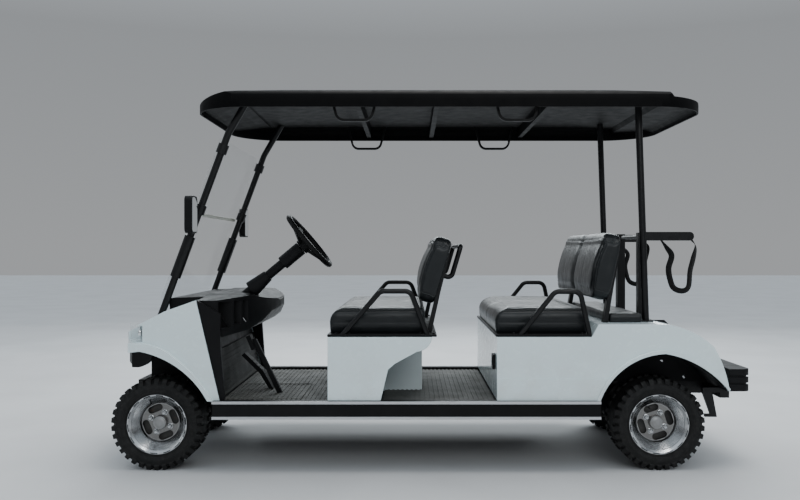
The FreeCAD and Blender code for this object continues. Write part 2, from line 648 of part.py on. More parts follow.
def front_cowl():
    """The front body: hood, wings over the wheels, flared arch lips and the lamps' housings."""
    wide = BODY_HALF_WIDTH + 50
    outline = [front_at(-NOSE_REACH, BUMPER_TOP_Z)] + cowl_profile(0)
    outline += [front_at(*COWL_REAR_TOP), front_at(*COWL_REAR_FOOT)] + FRONT_ARCH
    outer = slab(outline, "xz", -wide, wide).common(nose_plan(0, FRONT_AXLE_X + 400))
    hollow = [front_at(-NOSE_REACH, 300)] + cowl_profile(PANEL)
    hollow += [front_at(COWL_REAR_TOP[0] + 60, COWL_REAR_TOP[1] + 13), front_at(500, 300)]
    shell = outer.cut(slab(hollow, "xz", -wide, wide).common(nose_plan(PANEL, FRONT_AXLE_X + 500)))
    flare = [front_at(-117, 578), front_at(-117, 622), front_at(-51, 620), front_at(9, 608) + front_at(75, 574),
             front_at(173, 491) + front_at(285, SILL_TOP_Z)] + FRONT_ARCH
    housings = []
    for side in (-1, 1):
        recess = lamp_space(side, 0, wide)
        shell = shell.cut(recess)
        housings.append(lamp_space(side, -4, BODY_HALF_WIDTH - 2).common(outer).cut(recess))
    return fuse(shell, *both_sides(flare, BODY_HALF_WIDTH - PANEL, BODY_HALF_WIDTH + FLARE_OUT), *housings)


def lamp_space(side, inset, outer_y):
    """The box that a headlight sits in, drawn in by an inset all round."""
    low, high = sided(side, BODY_HALF_WIDTH - LAMP_WIDTH + inset, outer_y)
    return block(FRONT_AXLE_X - 200, LAMP_BACK_X - inset, low, high, LAMP_LOW_Z + inset, LAMP_HIGH_Z - inset)


def headlights():
    """The clear squarish lamps set into the corners of the cowl."""
    skin = nose_plan(PANEL, FRONT_AXLE_X + 100)
    export("headlights", *[lamp_space(side, LAMP_GAP, BODY_HALF_WIDTH - 4).common(skin) for side in (-1, 1)])


def front_bumper(cowl):
    """The black valance under the nose, a half moon seen from the side."""
    top = BUMPER_TOP_Z
    outline = [front_at(-NOSE_REACH, top), front_at(-NOSE_REACH, top - 30), front_at(60 - NOSE_REACH, BUMPER_LOW_Z),
               front_at(-70, BUMPER_LOW_Z), front_at(-22, top - 47) + front_at(0, top)]
    half = BODY_HALF_WIDTH + FLARE_OUT - BUMPER_INSET
    ends = block(FRONT_AXLE_X - 100, FRONT_AXLE_X + 100, -half, half, NOSE_LOW, NOSE_HIGH)
    body = slab(outline, "xz", -half, half).common(nose_plan(BUMPER_INSET - FLARE_OUT, FRONT_AXLE_X + 100))
    body = body.common(nose_plan(BUMPER_INSET, FRONT_AXLE_X + 100).fuse(ends))
    body = body.cut([nose_plan(BUMPER_INSET + BUMPER_WALL, FRONT_AXLE_X + 300), cowl])
    export("front_bumper", largest(body))


DASH_HALF_WIDTH = BODY_HALF_WIDTH - 27.0
DASH_CROWN_Z = 858.0
DASH_END_Z = 824.0
DASH_END_DX = 292.0
DASH_MIDDLE_DX = 528.0
SCUTTLE_HALF_WIDTH = STRUT_Y - STRUT_RADIUS - 7.0
SCUTTLE_TOP_Z = 832.0
KICK_WIDTH = 66.0
CUBBY_WALL = 9.0


def dash():
    """The black dashboard: a bowed rear face with cubbies, the scuttle ahead of it and the kick panels."""
    edge_top = (COWL_REAR_TOP[0] + 1, COWL_REAR_TOP[1])
    body = [front_at(*edge_top), front_at(edge_top[0], 848), front_at(335, DASH_CROWN_Z), front_at(395, 850),
            front_at(517, 812), front_at(529, 782) + front_at(503, 752), front_at(472, 708),
            front_at(416, 670), front_at(249, 629)]
    half = DASH_HALF_WIDTH
    bow = [(FRONT_AXLE_X, -half), (FRONT_AXLE_X + DASH_END_DX, -half),
           (FRONT_AXLE_X + DASH_MIDDLE_DX, 0, FRONT_AXLE_X + DASH_END_DX, half), (FRONT_AXLE_X, half)]
    crown = [(-half, 600), (half, 600), (half, DASH_END_Z), (0, DASH_CROWN_Z, -half, DASH_END_Z)]
    shape = slab(body, "xz", -half, half).common(slab(bow, "xy", NOSE_LOW, NOSE_HIGH))
    shape = shape.common(slab(crown, "yz", FRONT_AXLE_X, REAR_AXLE_X))
    shape = shape.cut(dash_cubbies())
    hood_rise = (COWL_REAR_TOP[1] - HOOD[1][1]) / (COWL_REAR_TOP[0] - HOOD[1][0])
    front_dx = 44.0
    foot_z = HOOD[1][1] + (front_dx - HOOD[1][0]) * hood_rise
    scuttle = [front_at(front_dx, foot_z), front_at(front_dx - 4, SCUTTLE_TOP_Z - 14),
               front_at(front_dx + 1, SCUTTLE_TOP_Z - 4) + front_at(front_dx + 16, SCUTTLE_TOP_Z),
               front_at(edge_top[0] + 4, 838), front_at(edge_top[0] + 4, edge_top[1]), front_at(*COWL_REAR_TOP)]
    wall = [front_at(*edge_top), front_at(249, 629), front_at(COWL_REAR_FOOT[0] + 1, SILL_TOP_Z),
            front_at(COWL_REAR_FOOT[0] + 22, SILL_TOP_Z), front_at(249 + KICK_WIDTH, 629),
            front_at(249 + KICK_WIDTH, 760)]
    kicks = both_sides(wall, SILL_INNER - 14, BODY_HALF_WIDTH - 10)
    return fuse(shape, slab(scuttle, "xz", -SCUTTLE_HALF_WIDTH, SCUTTLE_HALF_WIDTH), *kicks)


def dash_cubbies():
    """The open compartments at each end of the dash. Columns: inner and outer Y, front DX, low and high Z."""
    end = DASH_HALF_WIDTH - CUBBY_WALL
    table = [(end - 58, end, 262, 690, 815), (end - 104, end - 67, 290, 704, 818),
             (end - 142, end - 113, 330, 716, 820)]
    cuts = []
    for inner, outer, front_dx, low, high in table:
        for side in (-1, 1):
            y0, y1 = sided(side, inner, outer)
            cuts.append(block(FRONT_AXLE_X + front_dx, FRONT_AXLE_X + 600, y0, y1, low, high))
    return cuts


PEDAL_X = FRONT_AXLE_X + 543.0
BRAKE_Y = -270.0
THROTTLE_Y = -140.0
PEDAL_HALF = 31.0
PEDAL_ARM_HALF = 14.0


def pedals():
    """The accelerator and the brake, both hinged at the floor."""
    z = FLOOR_TOP_Z + MAT_THICKNESS + RIB_HEIGHT + RUNNING_GAP
    x = PEDAL_X
    arm = [(x, z), (x + 26, z), (x - 108, z + 275), (x - 134, z + 275)]
    pad = [(x - 128, z + 218), (x - 108, z + 228), (x - 138, z + 298), (x - 158, z + 288)]
    throttle = [(x - 60, z), (x - 38, z), (x - 92, z + 96), (x - 190, z + 190), (x - 206, z + 176), (x - 112, z + 84)]
    brake = fuse(slab(arm, "xz", BRAKE_Y - PEDAL_ARM_HALF, BRAKE_Y + PEDAL_ARM_HALF),
                 slab(pad, "xz", BRAKE_Y - PEDAL_HALF, BRAKE_Y + PEDAL_HALF))
    export("pedals", brake, slab(throttle, "xz", THROTTLE_Y - PEDAL_HALF, THROTTLE_Y + PEDAL_HALF))


def steering_column(dash_shape):
    """The column from the dash up to the wheel, with a boot where it leaves the dash."""
    top = STEER_CENTRE - STEER_AXIS * (HUB_DROP + WHEEL_HUB_HEIGHT / 2 + STEER_GAP)
    tube = rod(top - STEER_AXIS * COLUMN_LENGTH, top, COLUMN_RADIUS)
    shroud = rod(top - STEER_AXIS * 120, top, COLUMN_RADIUS + 12)
    boot = Part.makeCone(COLUMN_RADIUS + 20, COLUMN_RADIUS + 6, 110, top - STEER_AXIS * (COLUMN_LENGTH - 70), STEER_AXIS)
    shaft = rod(top, top + STEER_AXIS * (STEER_GAP + WHEEL_HUB_HEIGHT - 8), SHAFT_RADIUS)
    column = fuse(tube, shroud, boot, shaft).cut(dash_shape)
    export("steering_column", max(column.Solids, key=lambda solid: solid.CenterOfMass.z))


def steering_wheel():
    """The wheel: rim, three dished spokes and hub, running on the column's shaft."""
    middle = STEER_RADIUS - STEER_RIM
    grip = [(STEER_RIM * math.sin(turn), middle + STEER_RIM * math.cos(turn))
            for turn in (math.radians(22.5 + 45 * step) for step in range(8))]
    hub_low = -HUB_DROP - WHEEL_HUB_HEIGHT / 2
    hub = Part.makeCylinder(WHEEL_HUB_RADIUS, WHEEL_HUB_HEIGHT, V(hub_low, 0, 0), V(1, 0, 0))
    spoke = slab([(-HUB_DROP - 8, 10), (-HUB_DROP - 8, 40), (-6, middle), (6, middle), (6 - HUB_DROP, 36),
                  (6 - HUB_DROP, 10)], "xz", -15, 15)
    spokes = [spoke.rotated(V(0, 0, 0), V(1, 0, 0), angle) for angle in (180, 50, 310)]
    bore = Part.makeCylinder(SHAFT_RADIUS + SHAFT_FIT, WHEEL_HUB_HEIGHT - 7, V(hub_low, 0, 0), V(1, 0, 0))
    export("steering_wheel", stand(fuse(spin(grip), hub, *spokes).cut(bore), STEER_CENTRE, STEER_AXIS))


def front_pod():
    """The white housing under the front seat, its sides swept back in an S, and the box inboard."""
    x = FRONT_SEAT_X
    rear = x + POD_LENGTH
    top = POD_TOP_Z
    outline = [(x, SILL_TOP_Z), (x + 254, SILL_TOP_Z), (x + 289, 495), (x + 323, 524), (x + 428, 581),
               (x + 480, 606, rear, 640), (rear, top), (x, top)]
    outer = BODY_HALF_WIDTH + 10
    sides = both_sides(outline, outer - POD_SIDE, outer)
    inside = BODY_HALF_WIDTH
    front = block(x, x + PANEL, -inside, inside, SILL_TOP_Z, top)
    foot_strip = block(x, x + PANEL, -SILL_INNER, SILL_INNER, FLOOR_TOP_Z, SILL_TOP_Z)
    lid = block(x, rear, -inside, inside, top - PANEL, top)
    opening = BOX_HALF_WIDTH - 34
    lid = lid.cut(block(x + 40, rear - 90, -opening, opening, FLOOR_TOP_Z, top + 1))
    export("seat_pod", fuse(front, foot_strip, lid, *sides))
    box = block(x + PANEL, BOX_REAR_X, -BOX_HALF_WIDTH, BOX_HALF_WIDTH, FLOOR_TOP_Z, top - PANEL)
    wall = 8
    inner = BOX_HALF_WIDTH - wall
    hollow = block(x + PANEL + wall, BOX_REAR_X - wall, -inner, inner, FLOOR_TOP_Z - 1, top)
    export("seat_pod_box", box.cut(hollow))
    battery_x = x + 60
    battery_half = inner - 10
    export("battery_pack", block(battery_x, battery_x + BATTERY_LENGTH, -battery_half, battery_half,
                                 FLOOR_TOP_Z, FLOOR_TOP_Z + BATTERY_HEIGHT))


def cushion(x, length):
    """A seat cushion: a puffed front edge and rounded ends."""
    z = BASE_TOP_Z + RUNNING_GAP
    top = z + CUSHION_HEIGHT
    rear = x + length
    half = SEAT_HALF_WIDTH
    side = [(x + 8, z), (rear, z), (rear, top - 22), (rear - 6, top - 6, rear - 22, top), (x + 78, top),
            (x + 20, top - 22, x, top - 72)]
    section = [(10 - half, z), (half - 10, z), (half, z + 40), (half, top - 44),
               (half - 13, top - 13, half - 44, top), (44 - half, top), (13 - half, top - 13, -half, top - 44),
               (-half, z + 40)]
    return slab(side, "xz", -half, half).common(slab(section, "yz", x - 10, rear + 10))


def backrest(back):
    """A seat back: flat behind, puffed in front, with rounded corners, leaned about its foot."""
    face = BACK_THICKNESS / 2
    high = BACK_HEIGHT
    half = SEAT_HALF_WIDTH
    side = [(8 - face, 0), (face - 14, 0), (face, 16), (face, high - 26), (face - 8, high - 8, face - 28, high),
            (20 - face, high), (4 - face, high - 12, -face, high - 60), (-face - BACK_BULGE, high * 0.45, -face, 30)]
    outline = round_cornered(-half, half, 0, high, BACK_CORNER)
    pad = slab(side, "xz", -half, half).common(slab(outline, "yz", -BACK_THICKNESS, BACK_THICKNESS))
    return leaned(pad, back)


def leaned(shape, back):
    """A piece drawn upright at the origin, leaned back about the foot of a seat back."""
    x, z = back["foot"]
    shape.Placement = FreeCAD.Placement(V(x, 0, z), FreeCAD.Rotation(V(0, 1, 0), back["lean"]))
    return shape


def behind_back(back, height, off):
    """A point at a height up a leaned back and a distance behind its middle, as (X, Z)."""
    turn = math.radians(back["lean"])
    x, z = back["foot"]
    return (x + height * math.sin(turn) + off * math.cos(turn), z + height * math.cos(turn) - off * math.sin(turn))


def back_frame(back, seat_z):
    """The plate behind a seat back, with two legs down to the seat base or the deck."""
    face = BACK_THICKNESS / 2 + RUNNING_GAP
    skin = face + SHELL_THICKNESS
    half = SEAT_HALF_WIDTH - 20
    plate = rounded(block(face, skin, -half, half, 14, BACK_HEIGHT - 16), BACK_CORNER - 20, (1, 0, 0))
    leg_x = back["leg_x"]
    outline = [(leg_x, seat_z), behind_back(back, 70, face), behind_back(back, BACK_HEIGHT - 70, face),
               behind_back(back, BACK_HEIGHT - 70, face + SUPPORT_THICKNESS),
               behind_back(back, 70, face + SUPPORT_THICKNESS + 8), (leg_x + 24, seat_z)]
    legs = both_sides(outline, SUPPORT_Y - SUPPORT_WIDTH / 2, SUPPORT_Y + SUPPORT_WIDTH / 2)
    return fuse(leaned(plate, back), *legs)


def armrests():
    """Bent tubes beside the seats. Columns: seat X, then offsets and heights of the foot and the two bends."""
    table = [(FRONT_SEAT_X, (72, 252, 396, 476), 870), (REAR_SEAT_X, (118, 283, 403, 448), 868)]
    sink = 0.2
    bars = []
    for seat_x, (foot, bend_front, bend_rear, tail), top in table:
        rise = top - BASE_TOP_Z
        points = [(foot - (bend_front - foot) * sink, -rise * sink), (bend_front, rise), (bend_rear, rise),
                  (tail + (tail - bend_rear) * sink, -rise * sink)]
        for side in (-1, 1):
            route = [(seat_x + dx, side * ARMREST_Y, BASE_TOP_Z + dz) for dx, dz in points]
            below = block(seat_x - 100, seat_x + 800, *sided(side, ARMREST_Y - 50, ARMREST_Y + 50), 0, BASE_TOP_Z)
            bars.append(bent_bar(route, 40, TUBE_RADIUS).cut(below))
    export("armrests", *bars)


def handrail(frame):
    """The rear passengers' rail: one bent tube standing off the front seat back."""
    face = BACK_THICKNESS / 2 + SHELL_THICKNESS
    reach = face + 52
    y = HANDRAIL_Y
    low_in = behind_back(FRONT_BACK, 150, face)
    low_out = behind_back(FRONT_BACK, 150, reach)
    high_out = behind_back(FRONT_BACK, 318, reach)
    route = [(low_in[0], -y, low_in[1]), (low_out[0], -y, low_out[1]), (high_out[0], -y, high_out[1]),
             (high_out[0], y, high_out[1]), (low_out[0], y, low_out[1]), (low_in[0], y, low_in[1])]
    export("handrail", largest(bent_bar(route, 24, TUBE_RADIUS).cut(frame)))


def seats():
    """Cushions, backs, their base plates and frames, the armrests and the rear passengers' handrail."""
    export("front_cushion", cushion(FRONT_SEAT_X, FRONT_CUSHION_LENGTH))
    export("rear_cushion", cushion(REAR_SEAT_X, REAR_CUSHION_LENGTH))
    export("front_backrest", backrest(FRONT_BACK))
    export("rear_backrest", backrest(REAR_BACK))
    half = SEAT_BASE_HALF
    ends = ((FRONT_SEAT_X - 4, FRONT_SEAT_X + POD_LENGTH + 24), (REAR_SEAT_X - 4, REAR_SEAT_X + 455))
    export("seat_bases", *[block(x0, x1, -half, half, POD_TOP_Z, BASE_TOP_Z) for x0, x1 in ends])
    frames = [back_frame(FRONT_BACK, BASE_TOP_Z), back_frame(REAR_BACK, DECK_Z)]
    export("seat_back_frames", *frames)
    armrests()
    handrail(frames[0])


def tail_line(wall):
    """The fender's fall from the deck to its tail, or the same line a wall inside it."""
    slant = wall * 0.7
    return [rear_at(-20, DECK_Z - wall), rear_at(120 - wall / 3, 686 - wall) + rear_at(251 - slant, 602 - slant),
            rear_at(298 - wall, 499) + rear_at(REAR_END - wall, 404), rear_at(REAR_END - 4 - wall, 392)]


def tail_solid(wall):
    """The space that the rear fender's skin fills, for what is seated against it."""
    return slab([rear_at(-300, 392), rear_at(-300, DECK_Z)] + tail_line(wall), "xz", -BODY_HALF_WIDTH, BODY_HALF_WIDTH)


REAR_ARCH = [rear_at(188, 507) + rear_at(13, 572), rear_at(-176, 507) + rear_at(-298, SILL_TOP_Z)]


def rear_body():
    """The white rear body: seat pod, raised deck, fenders over open arches, and the bag well's opening."""
    x = REAR_SEAT_X
    wide = BODY_HALF_WIDTH
    outline = [(x, SILL_TOP_Z), (x, POD_TOP_Z), rear_at(-336, POD_TOP_Z), rear_at(-303, DECK_Z)]
    outer = slab(outline + tail_line(0) + REAR_ARCH, "xz", -wide, wide)
    wall = PANEL
    hollow = [(x + wall, 200), (x + wall, POD_TOP_Z - wall), rear_at(-333, POD_TOP_Z - wall),
              rear_at(-300, DECK_Z - wall)] + tail_line(wall)[:-1] + [rear_at(REAR_END - wall, 200)]
    shell = outer.cut(slab(hollow, "xz", wall - wide, wide - wall))
    shell = shell.cut(block(WELL_FRONT_X, REAR_AXLE_X + 500, -WELL_HALF, WELL_HALF, 380, 1000))
    lip = [rear_at(-298 - REAR_LIP, SILL_TOP_Z), rear_at(-187, 518) + rear_at(13, 572 + REAR_LIP),
           rear_at(199, 520) + rear_at(REAR_END, 404), rear_at(REAR_END - 4, 392)] + REAR_ARCH
    edge_dx = -REAR_LIP / 2
    skirt = [(x, SILL_TOP_Z), rear_at(edge_dx - 298, SILL_TOP_Z), rear_at(edge_dx - 250, SKIRT_TOP_Z - 10),
             rear_at(-252, SKIRT_TOP_Z), (x, SKIRT_TOP_Z)]
    bands = both_sides(lip, wide - wall, wide + REAR_LIP) + both_sides(skirt, wide - wall, wide + SKIRT_OUT)
    export("rear_body", fuse(shell, *bands))


def wheel_liners():
    """Black liners under the rear arches, each with its inner wall."""
    thin = [rear_at(-298 + LINER, SILL_TOP_Z), rear_at(-172, 503) + rear_at(13, 572 - LINER),
            rear_at(184, 503) + rear_at(REAR_END - 12, 392)]
    tip = [rear_at(REAR_END - 4, 392)]
    wall = tip + REAR_ARCH + [rear_at(-240, 400), rear_at(240, 400)]
    skins = both_sides(tip + REAR_ARCH + thin, LINER_INNER_Y - LINER, BODY_HALF_WIDTH - PANEL - 2)
    walls = both_sides(wall, LINER_INNER_Y - LINER, LINER_INNER_Y)
    export("wheel_liners", *[fuse(skin, inner) for skin, inner in zip(skins, walls)])


WELL_RIB_PITCH = 80
WELL_RIB_MARGIN = 60.0


def bag_well():
    """The black open tray behind the rear seat, where bags stand."""
    low = WELL_FRONT_X
    high = RAIL_REAR_X - 8
    half = WELL_HALF
    z = WELL_FLOOR_Z
    tray = block(low, high, -half, half, z, DECK_Z)
    hollow = block(low + LINER, high - LINER, LINER - half, half - LINER, z + LINER, DECK_Z + 1)
    side_cut = [(low + 60, DECK_Z + 1), (high + 1, DECK_Z + 1), (high + 1, z + 70), (high - 60, z + 70)]
    tray = tray.cut(hollow).cut(slab(side_cut, "xz", -half - 1, half + 1))
    reach = WELL_RIB_PITCH * int((half - WELL_RIB_MARGIN) / WELL_RIB_PITCH)
    ribs = [block(low + LINER, high - LINER, y - 6, y + 6, z + LINER - 1, z + LINER + 5)
            for y in range(-reach, reach + 1, WELL_RIB_PITCH)]
    legs = [block(x, x + 40, side * RAIL_Y - 20, side * RAIL_Y + 20, RAIL_TOP_Z + RAIL_KICK, z + 1)
            for x in (low + 20, high - 110) for side in (-1, 1)]
    export("bag_well", fuse(tray, *ribs, *legs))


PAD_FRONT_X = REAR_AXLE_X - 228.0
PAD_LENGTH = 160.0
PAD_HEIGHT = 46.0
TAIL_LENS = 7.0
SOCKET_Y = BODY_HALF_WIDTH - 102.0


def rear_fittings():
    """The deck pad, the rear bumper, the tail lamps and the charging socket."""
    z = DECK_Z + RUNNING_GAP
    half = SEAT_HALF_WIDTH - 30
    top = z + PAD_HEIGHT
    section = [(-half, z), (half, z), (half, top - 18), (half - 5, top - 5, half - 18, top), (18 - half, top),
               (5 - half, top - 5, -half, top - 18)]
    export("deck_pad", slab(section, "yz", PAD_FRONT_X, PAD_FRONT_X + PAD_LENGTH))
    export("rear_bumper", rear_bumper())
    lamps = []
    for side in (-1, 1):
        low, high = sided(side, WELL_HALF + 60, WELL_HALF + 180)
        face = block(REAR_AXLE_X + 200, REAR_AXLE_X + REAR_END + 20, low, high, 520, 590)
        lamps.append(tail_solid(-TAIL_LENS).common(face).cut(tail_solid(0)))
    export("taillights", *lamps)
    x = REAR_SEAT_X
    socket = block(x - 14, x, -SOCKET_Y - 32, 32 - SOCKET_Y, 487, 558)
    export("charge_socket", socket.cut(block(x - 20, x - 6, -SOCKET_Y - 20, 20 - SOCKET_Y, 500, 545)))


def bumper_plan(inset, low, high):
    """The rear bumper's outline from above, pushed up from low to high."""
    half = BUMPER_REAR_HALF - inset
    back = BUMPER_REAR_X - inset
    corner = 40
    outline = [(RAIL_REAR_X, -half), (back - corner, -half), (back - 12, 12 - half, back, corner - half),
               (back, half - corner), (back - 12, half - 12, back - corner, half), (RAIL_REAR_X, half)]
    return slab(outline, "xy", low, high)


def rear_bumper():
    """The black rear bumper, a solid block with grooves round its face."""
    bumper = bumper_plan(0, BUMPER_REAR_LOW_Z, BUMPER_REAR_HIGH_Z)
    third = (BUMPER_REAR_HIGH_Z - BUMPER_REAR_LOW_Z) / 3
    for step in (1, 2):
        z = BUMPER_REAR_LOW_Z + third * step
        bumper = bumper.cut(bumper_plan(0, z - 5, z + 5).cut(bumper_plan(8, z - 5, z + 5)))
    return bumper


ROOF_CORNER = 290.0
ROOF_STEP_X = REAR_AXLE_X + 32.0
ROOF_LEDGE_Z = ROOF_EDGE_Z - 29.0
ROOF_RIB_WIDTH = 26.0


def roof_form(inset):
    """The roof's outer form, or the same form drawn in and lowered by a wall."""
    x0 = ROOF_FRONT_X + inset
    x1 = ROOF_REAR_X - inset
    half = ROOF_HALF_WIDTH - inset
    low = ROOF_LIP_Z - (60 if inset else 0)
    edge = ROOF_EDGE_Z - inset
    crown = ROOF_CROWN_Z - inset
    ledge = ROOF_LEDGE_Z - inset
    step = ROOF_STEP_X - inset
    shoulder = ROOF_LIP_Z + 30
    side = [(x0, low), (x0, ROOF_LIP_Z + 38 - inset), (x0 + 110, edge - 14, x0 + 300, edge + 1), (x0 + 640, crown),
            (step - 500, crown), (step, edge - 6), (step + 20, ledge), (x1 - 44, ledge - 4),
            (x1 - 12, ledge - 14, x1, ledge - 34), (x1, low)]
    section = [(-half, low), (-half, shoulder), (14 - half, edge - 10, 80 - half, edge), (0, crown, half - 80, edge),
               (half - 14, edge - 10, half, shoulder), (half, low)]
    form = slab(side, "xz", -half, half).common(slab(section, "yz", x0, x1))
    spare = 2
    plan = round_cornered(x0 - spare, x1 + spare, -half - spare, half + spare, ROOF_CORNER - inset)
    return form.common(slab(plan, "xy", low, ROOF_CROWN_Z))


def roof():
    """The long canopy: a moulded shell with drop lips, open below, and its cross ribs."""
    ribs = []
    inside = roof_form(ROOF_SKIN / 2)
    for dx in (960, 1345, 1895):
        x = FRONT_AXLE_X + dx
        rib = block(x, x + ROOF_RIB_WIDTH, -ROOF_HALF_WIDTH, ROOF_HALF_WIDTH, ROOF_LIP_Z + 18, ROOF_CROWN_Z)
        ribs.append(rib.common(inside))
    return fuse(roof_form(0).cut(roof_form(ROOF_SKIN)), *ribs)


def on_strut(z):
    """X on the front struts' centre line at a height."""
    run = (STRUT_TOP[0] - STRUT_FOOT[0]) / (STRUT_TOP[1] - STRUT_FOOT[1])
    return STRUT_FOOT[0] + (z - STRUT_FOOT[1]) * run


def cowl_space():
    """The space under the hood's skin."""
    front = -NOSE_REACH + 50
    outline = [front_at(front, 640)] + [front_at(*point) for point in HOOD + [COWL_REAR_TOP]]
    outline += [front_at(COWL_REAR_TOP[0], 500), front_at(front, 500)]
    return slab(outline, "xz", -BODY_HALF_WIDTH, BODY_HALF_WIDTH)


def front_struts(roof_shape):
    """The raked front struts with their clamp sleeves, from the hood up to the roof."""
    bars = []
    buried = STRUT_FOOT[1] - 85
    sleeves = ((WINDSHIELD_LOW_Z + 124, WINDSHIELD_LOW_Z + 324), (SEAM_Z + 18, SEAM_Z + 63),
               (PANE_TOP_Z - 70, PANE_TOP_Z - 25))
    for side in (-1, 1):
        y = side * STRUT_Y
        points = [(on_strut(buried), y, buried), (STRUT_TOP[0], y, STRUT_TOP[1]), (STRUT_TOP[0] + 110, y, ROOF_EDGE_Z)]
        collars = [rod((on_strut(low), y, low), (on_strut(high), y, high), SLEEVE_RADIUS) for low, high in sleeves]
        bars.append(largest(fuse(bent_bar(points, 150, STRUT_RADIUS), *collars).cut([roof_shape, cowl_space()])))
    export("front_struts", *bars)


def windshield():
    """Two clear panes in front of the struts, one above the other."""
    rake = math.degrees(math.atan2(STRUT_TOP[0] - STRUT_FOOT[0], STRUT_TOP[1] - STRUT_FOOT[1]))
    half = STRUT_Y + 8
    rear = -SLEEVE_RADIUS - RUNNING_GAP
    panes = []
    for low, high in ((WINDSHIELD_LOW_Z, SEAM_Z - 2), (SEAM_Z + 2, PANE_TOP_Z)):
        pane = block(rear - PANE, rear, -half, half, 0, (high - low) / math.cos(math.radians(rake)))
        pane = rounded(pane, 40, (1, 0, 0))
        pane.Placement = FreeCAD.Placement(V(on_strut(low), 0, low), FreeCAD.Rotation(V(0, 1, 0), rake))
        panes.append(pane)
    export("windshield", *panes)


STRAP_WIDTH = 38.0
STRAP_THICKNESS = 3.0
RACK_ARM_HALF = 15.0
RACK_BAR_RADIUS = 11.0
RACK_POST_HALF = 22.0


def rear_struts(roof_shape):
    """The rear struts from their plates on the deck up to the roof."""
    bars = []
    for side in (-1, 1):
        y = side * REAR_STRUT_Y
        bar = rod((REAR_STRUT_FOOT_X, y, DECK_Z), (REAR_STRUT_TOP_X, y, ROOF_EDGE_Z + 10), STRUT_RADIUS)
        foot = block(REAR_STRUT_FOOT_X - 30, REAR_STRUT_FOOT_X + 30, y - 26, y + 26, DECK_Z, DECK_Z + 8)
        below = block(REAR_STRUT_FOOT_X - 100, REAR_STRUT_FOOT_X + 100, y - 50, y + 50, 0, DECK_Z)
        bars.append(largest(fuse(bar, foot).cut([roof_shape, below])))
    export("rear_struts", *bars)
    return bars


def ribbon(points, thickness):
    """The outline of a thin strip along (X, Z) points."""
    left = []
    right = []
    for number, (x, z) in enumerate(points):
        before = points[max(number - 1, 0)]
        after = points[min(number + 1, len(points) - 1)]
        along = math.hypot(after[0] - before[0], after[1] - before[1])
        nx = -(after[1] - before[1]) / along * thickness / 2
        nz = (after[0] - before[0]) / along * thickness / 2
        left.append((x + nx, z + nz))
        right.append((x - nx, z - nz))
    return left + right[::-1]


def bag_rack(strut_bars):
    """The rack behind the rear struts on its two posts, and the webbing loops under its arms."""
    low = RACK_LOW_Z
    high = RACK_HIGH_Z
    middle = (low + high) / 2
    rear = RACK_REAR_X
    rise = (middle - DECK_Z) / (ROOF_EDGE_Z - DECK_Z)
    front = REAR_STRUT_FOOT_X + (REAR_STRUT_TOP_X - REAR_STRUT_FOOT_X) * rise
    outline = [(front, low), (rear - 20, low), (rear - 6, low + 6, rear, low + 20), (rear, high - 20),
               (rear - 6, high - 6, rear - 20, high), (front, high)]
    pieces = both_sides(outline, REAR_STRUT_Y - RACK_ARM_HALF, REAR_STRUT_Y + RACK_ARM_HALF)
    for x in (RACK_POST_X, rear - 30):
        pieces.append(rod((x, -REAR_STRUT_Y, middle), (x, REAR_STRUT_Y, middle), RACK_BAR_RADIUS))
    half = RACK_POST_HALF
    for y in (-RACK_POST_Y, RACK_POST_Y):
        pieces.append(block(RACK_POST_X - half, RACK_POST_X + half, y - half, y + half, DECK_Z, middle + half))
    rack = largest(fuse(*pieces).cut(strut_bars))
    export("bag_rack", rack)
    loop = [(-161, 0), (-130, -37), (-107, -76), (-122, -137), (-115, -191), (-96, -236), (-53, -251), (-23, -229),
            (-15, -152), (0, -91), (17, -30), (-8, 0)]
    strip = ribbon([(rear + dx, low + dz) for dx, dz in loop], STRAP_THICKNESS)
    inner = REAR_STRUT_Y - STRAP_WIDTH / 2
    below = block(rear - 300, rear + 100, -BODY_HALF_WIDTH, BODY_HALF_WIDTH, DECK_Z, low)
    export("bag_straps", *[largest(strap.common(below)) for strap in both_sides(strip, inner, inner + STRAP_WIDTH)])


MIRROR_Z = SEAM_Z + 9.0
MIRROR_Y = ROOF_HALF_WIDTH
MIRROR_HALF = 50.0
HANDLE_Y = ROOF_HALF_WIDTH - 56.0
HANDLE_LOW_Z = ROOF_LIP_Z - 56.0


def roof_handles(roof_shape):
    """The four grab handles under the roof's edges."""
    handles = []
    for dx in (855, 1640):
        x = FRONT_AXLE_X + dx
        for side in (-1, 1):
            y = side * HANDLE_Y
            route = [(x - 12, y, ROOF_EDGE_Z), (x + 24, y, HANDLE_LOW_Z), (x + 184, y, HANDLE_LOW_Z),
                     (x + 220, y, ROOF_EDGE_Z)]
            bar = bent_bar(route, 40, (11, 6)).cut(roof_shape)
            handles.append(min(bar.Solids, key=lambda solid: solid.BoundBox.ZMin))
    export("roof_handles", *handles)


def mirrors():
    """The two door mirrors, each on a short arm from its strut."""
    x = on_strut(MIRROR_Z)
    pieces = []
    for side in (-1, 1):
        low, high = sided(side, MIRROR_Y - MIRROR_HALF, MIRROR_Y + MIRROR_HALF)
        head = rounded(block(x - 18, x + 18, low, high, MIRROR_Z - 88, MIRROR_Z + 88), 24, (1, 0, 0))
        arm = rod((x, side * (STRUT_Y + STRUT_RADIUS), MIRROR_Z), (x, side * (MIRROR_Y - MIRROR_HALF + 4), MIRROR_Z), 8)
        pieces.append(fuse(head, arm))
    export("mirrors", *pieces)


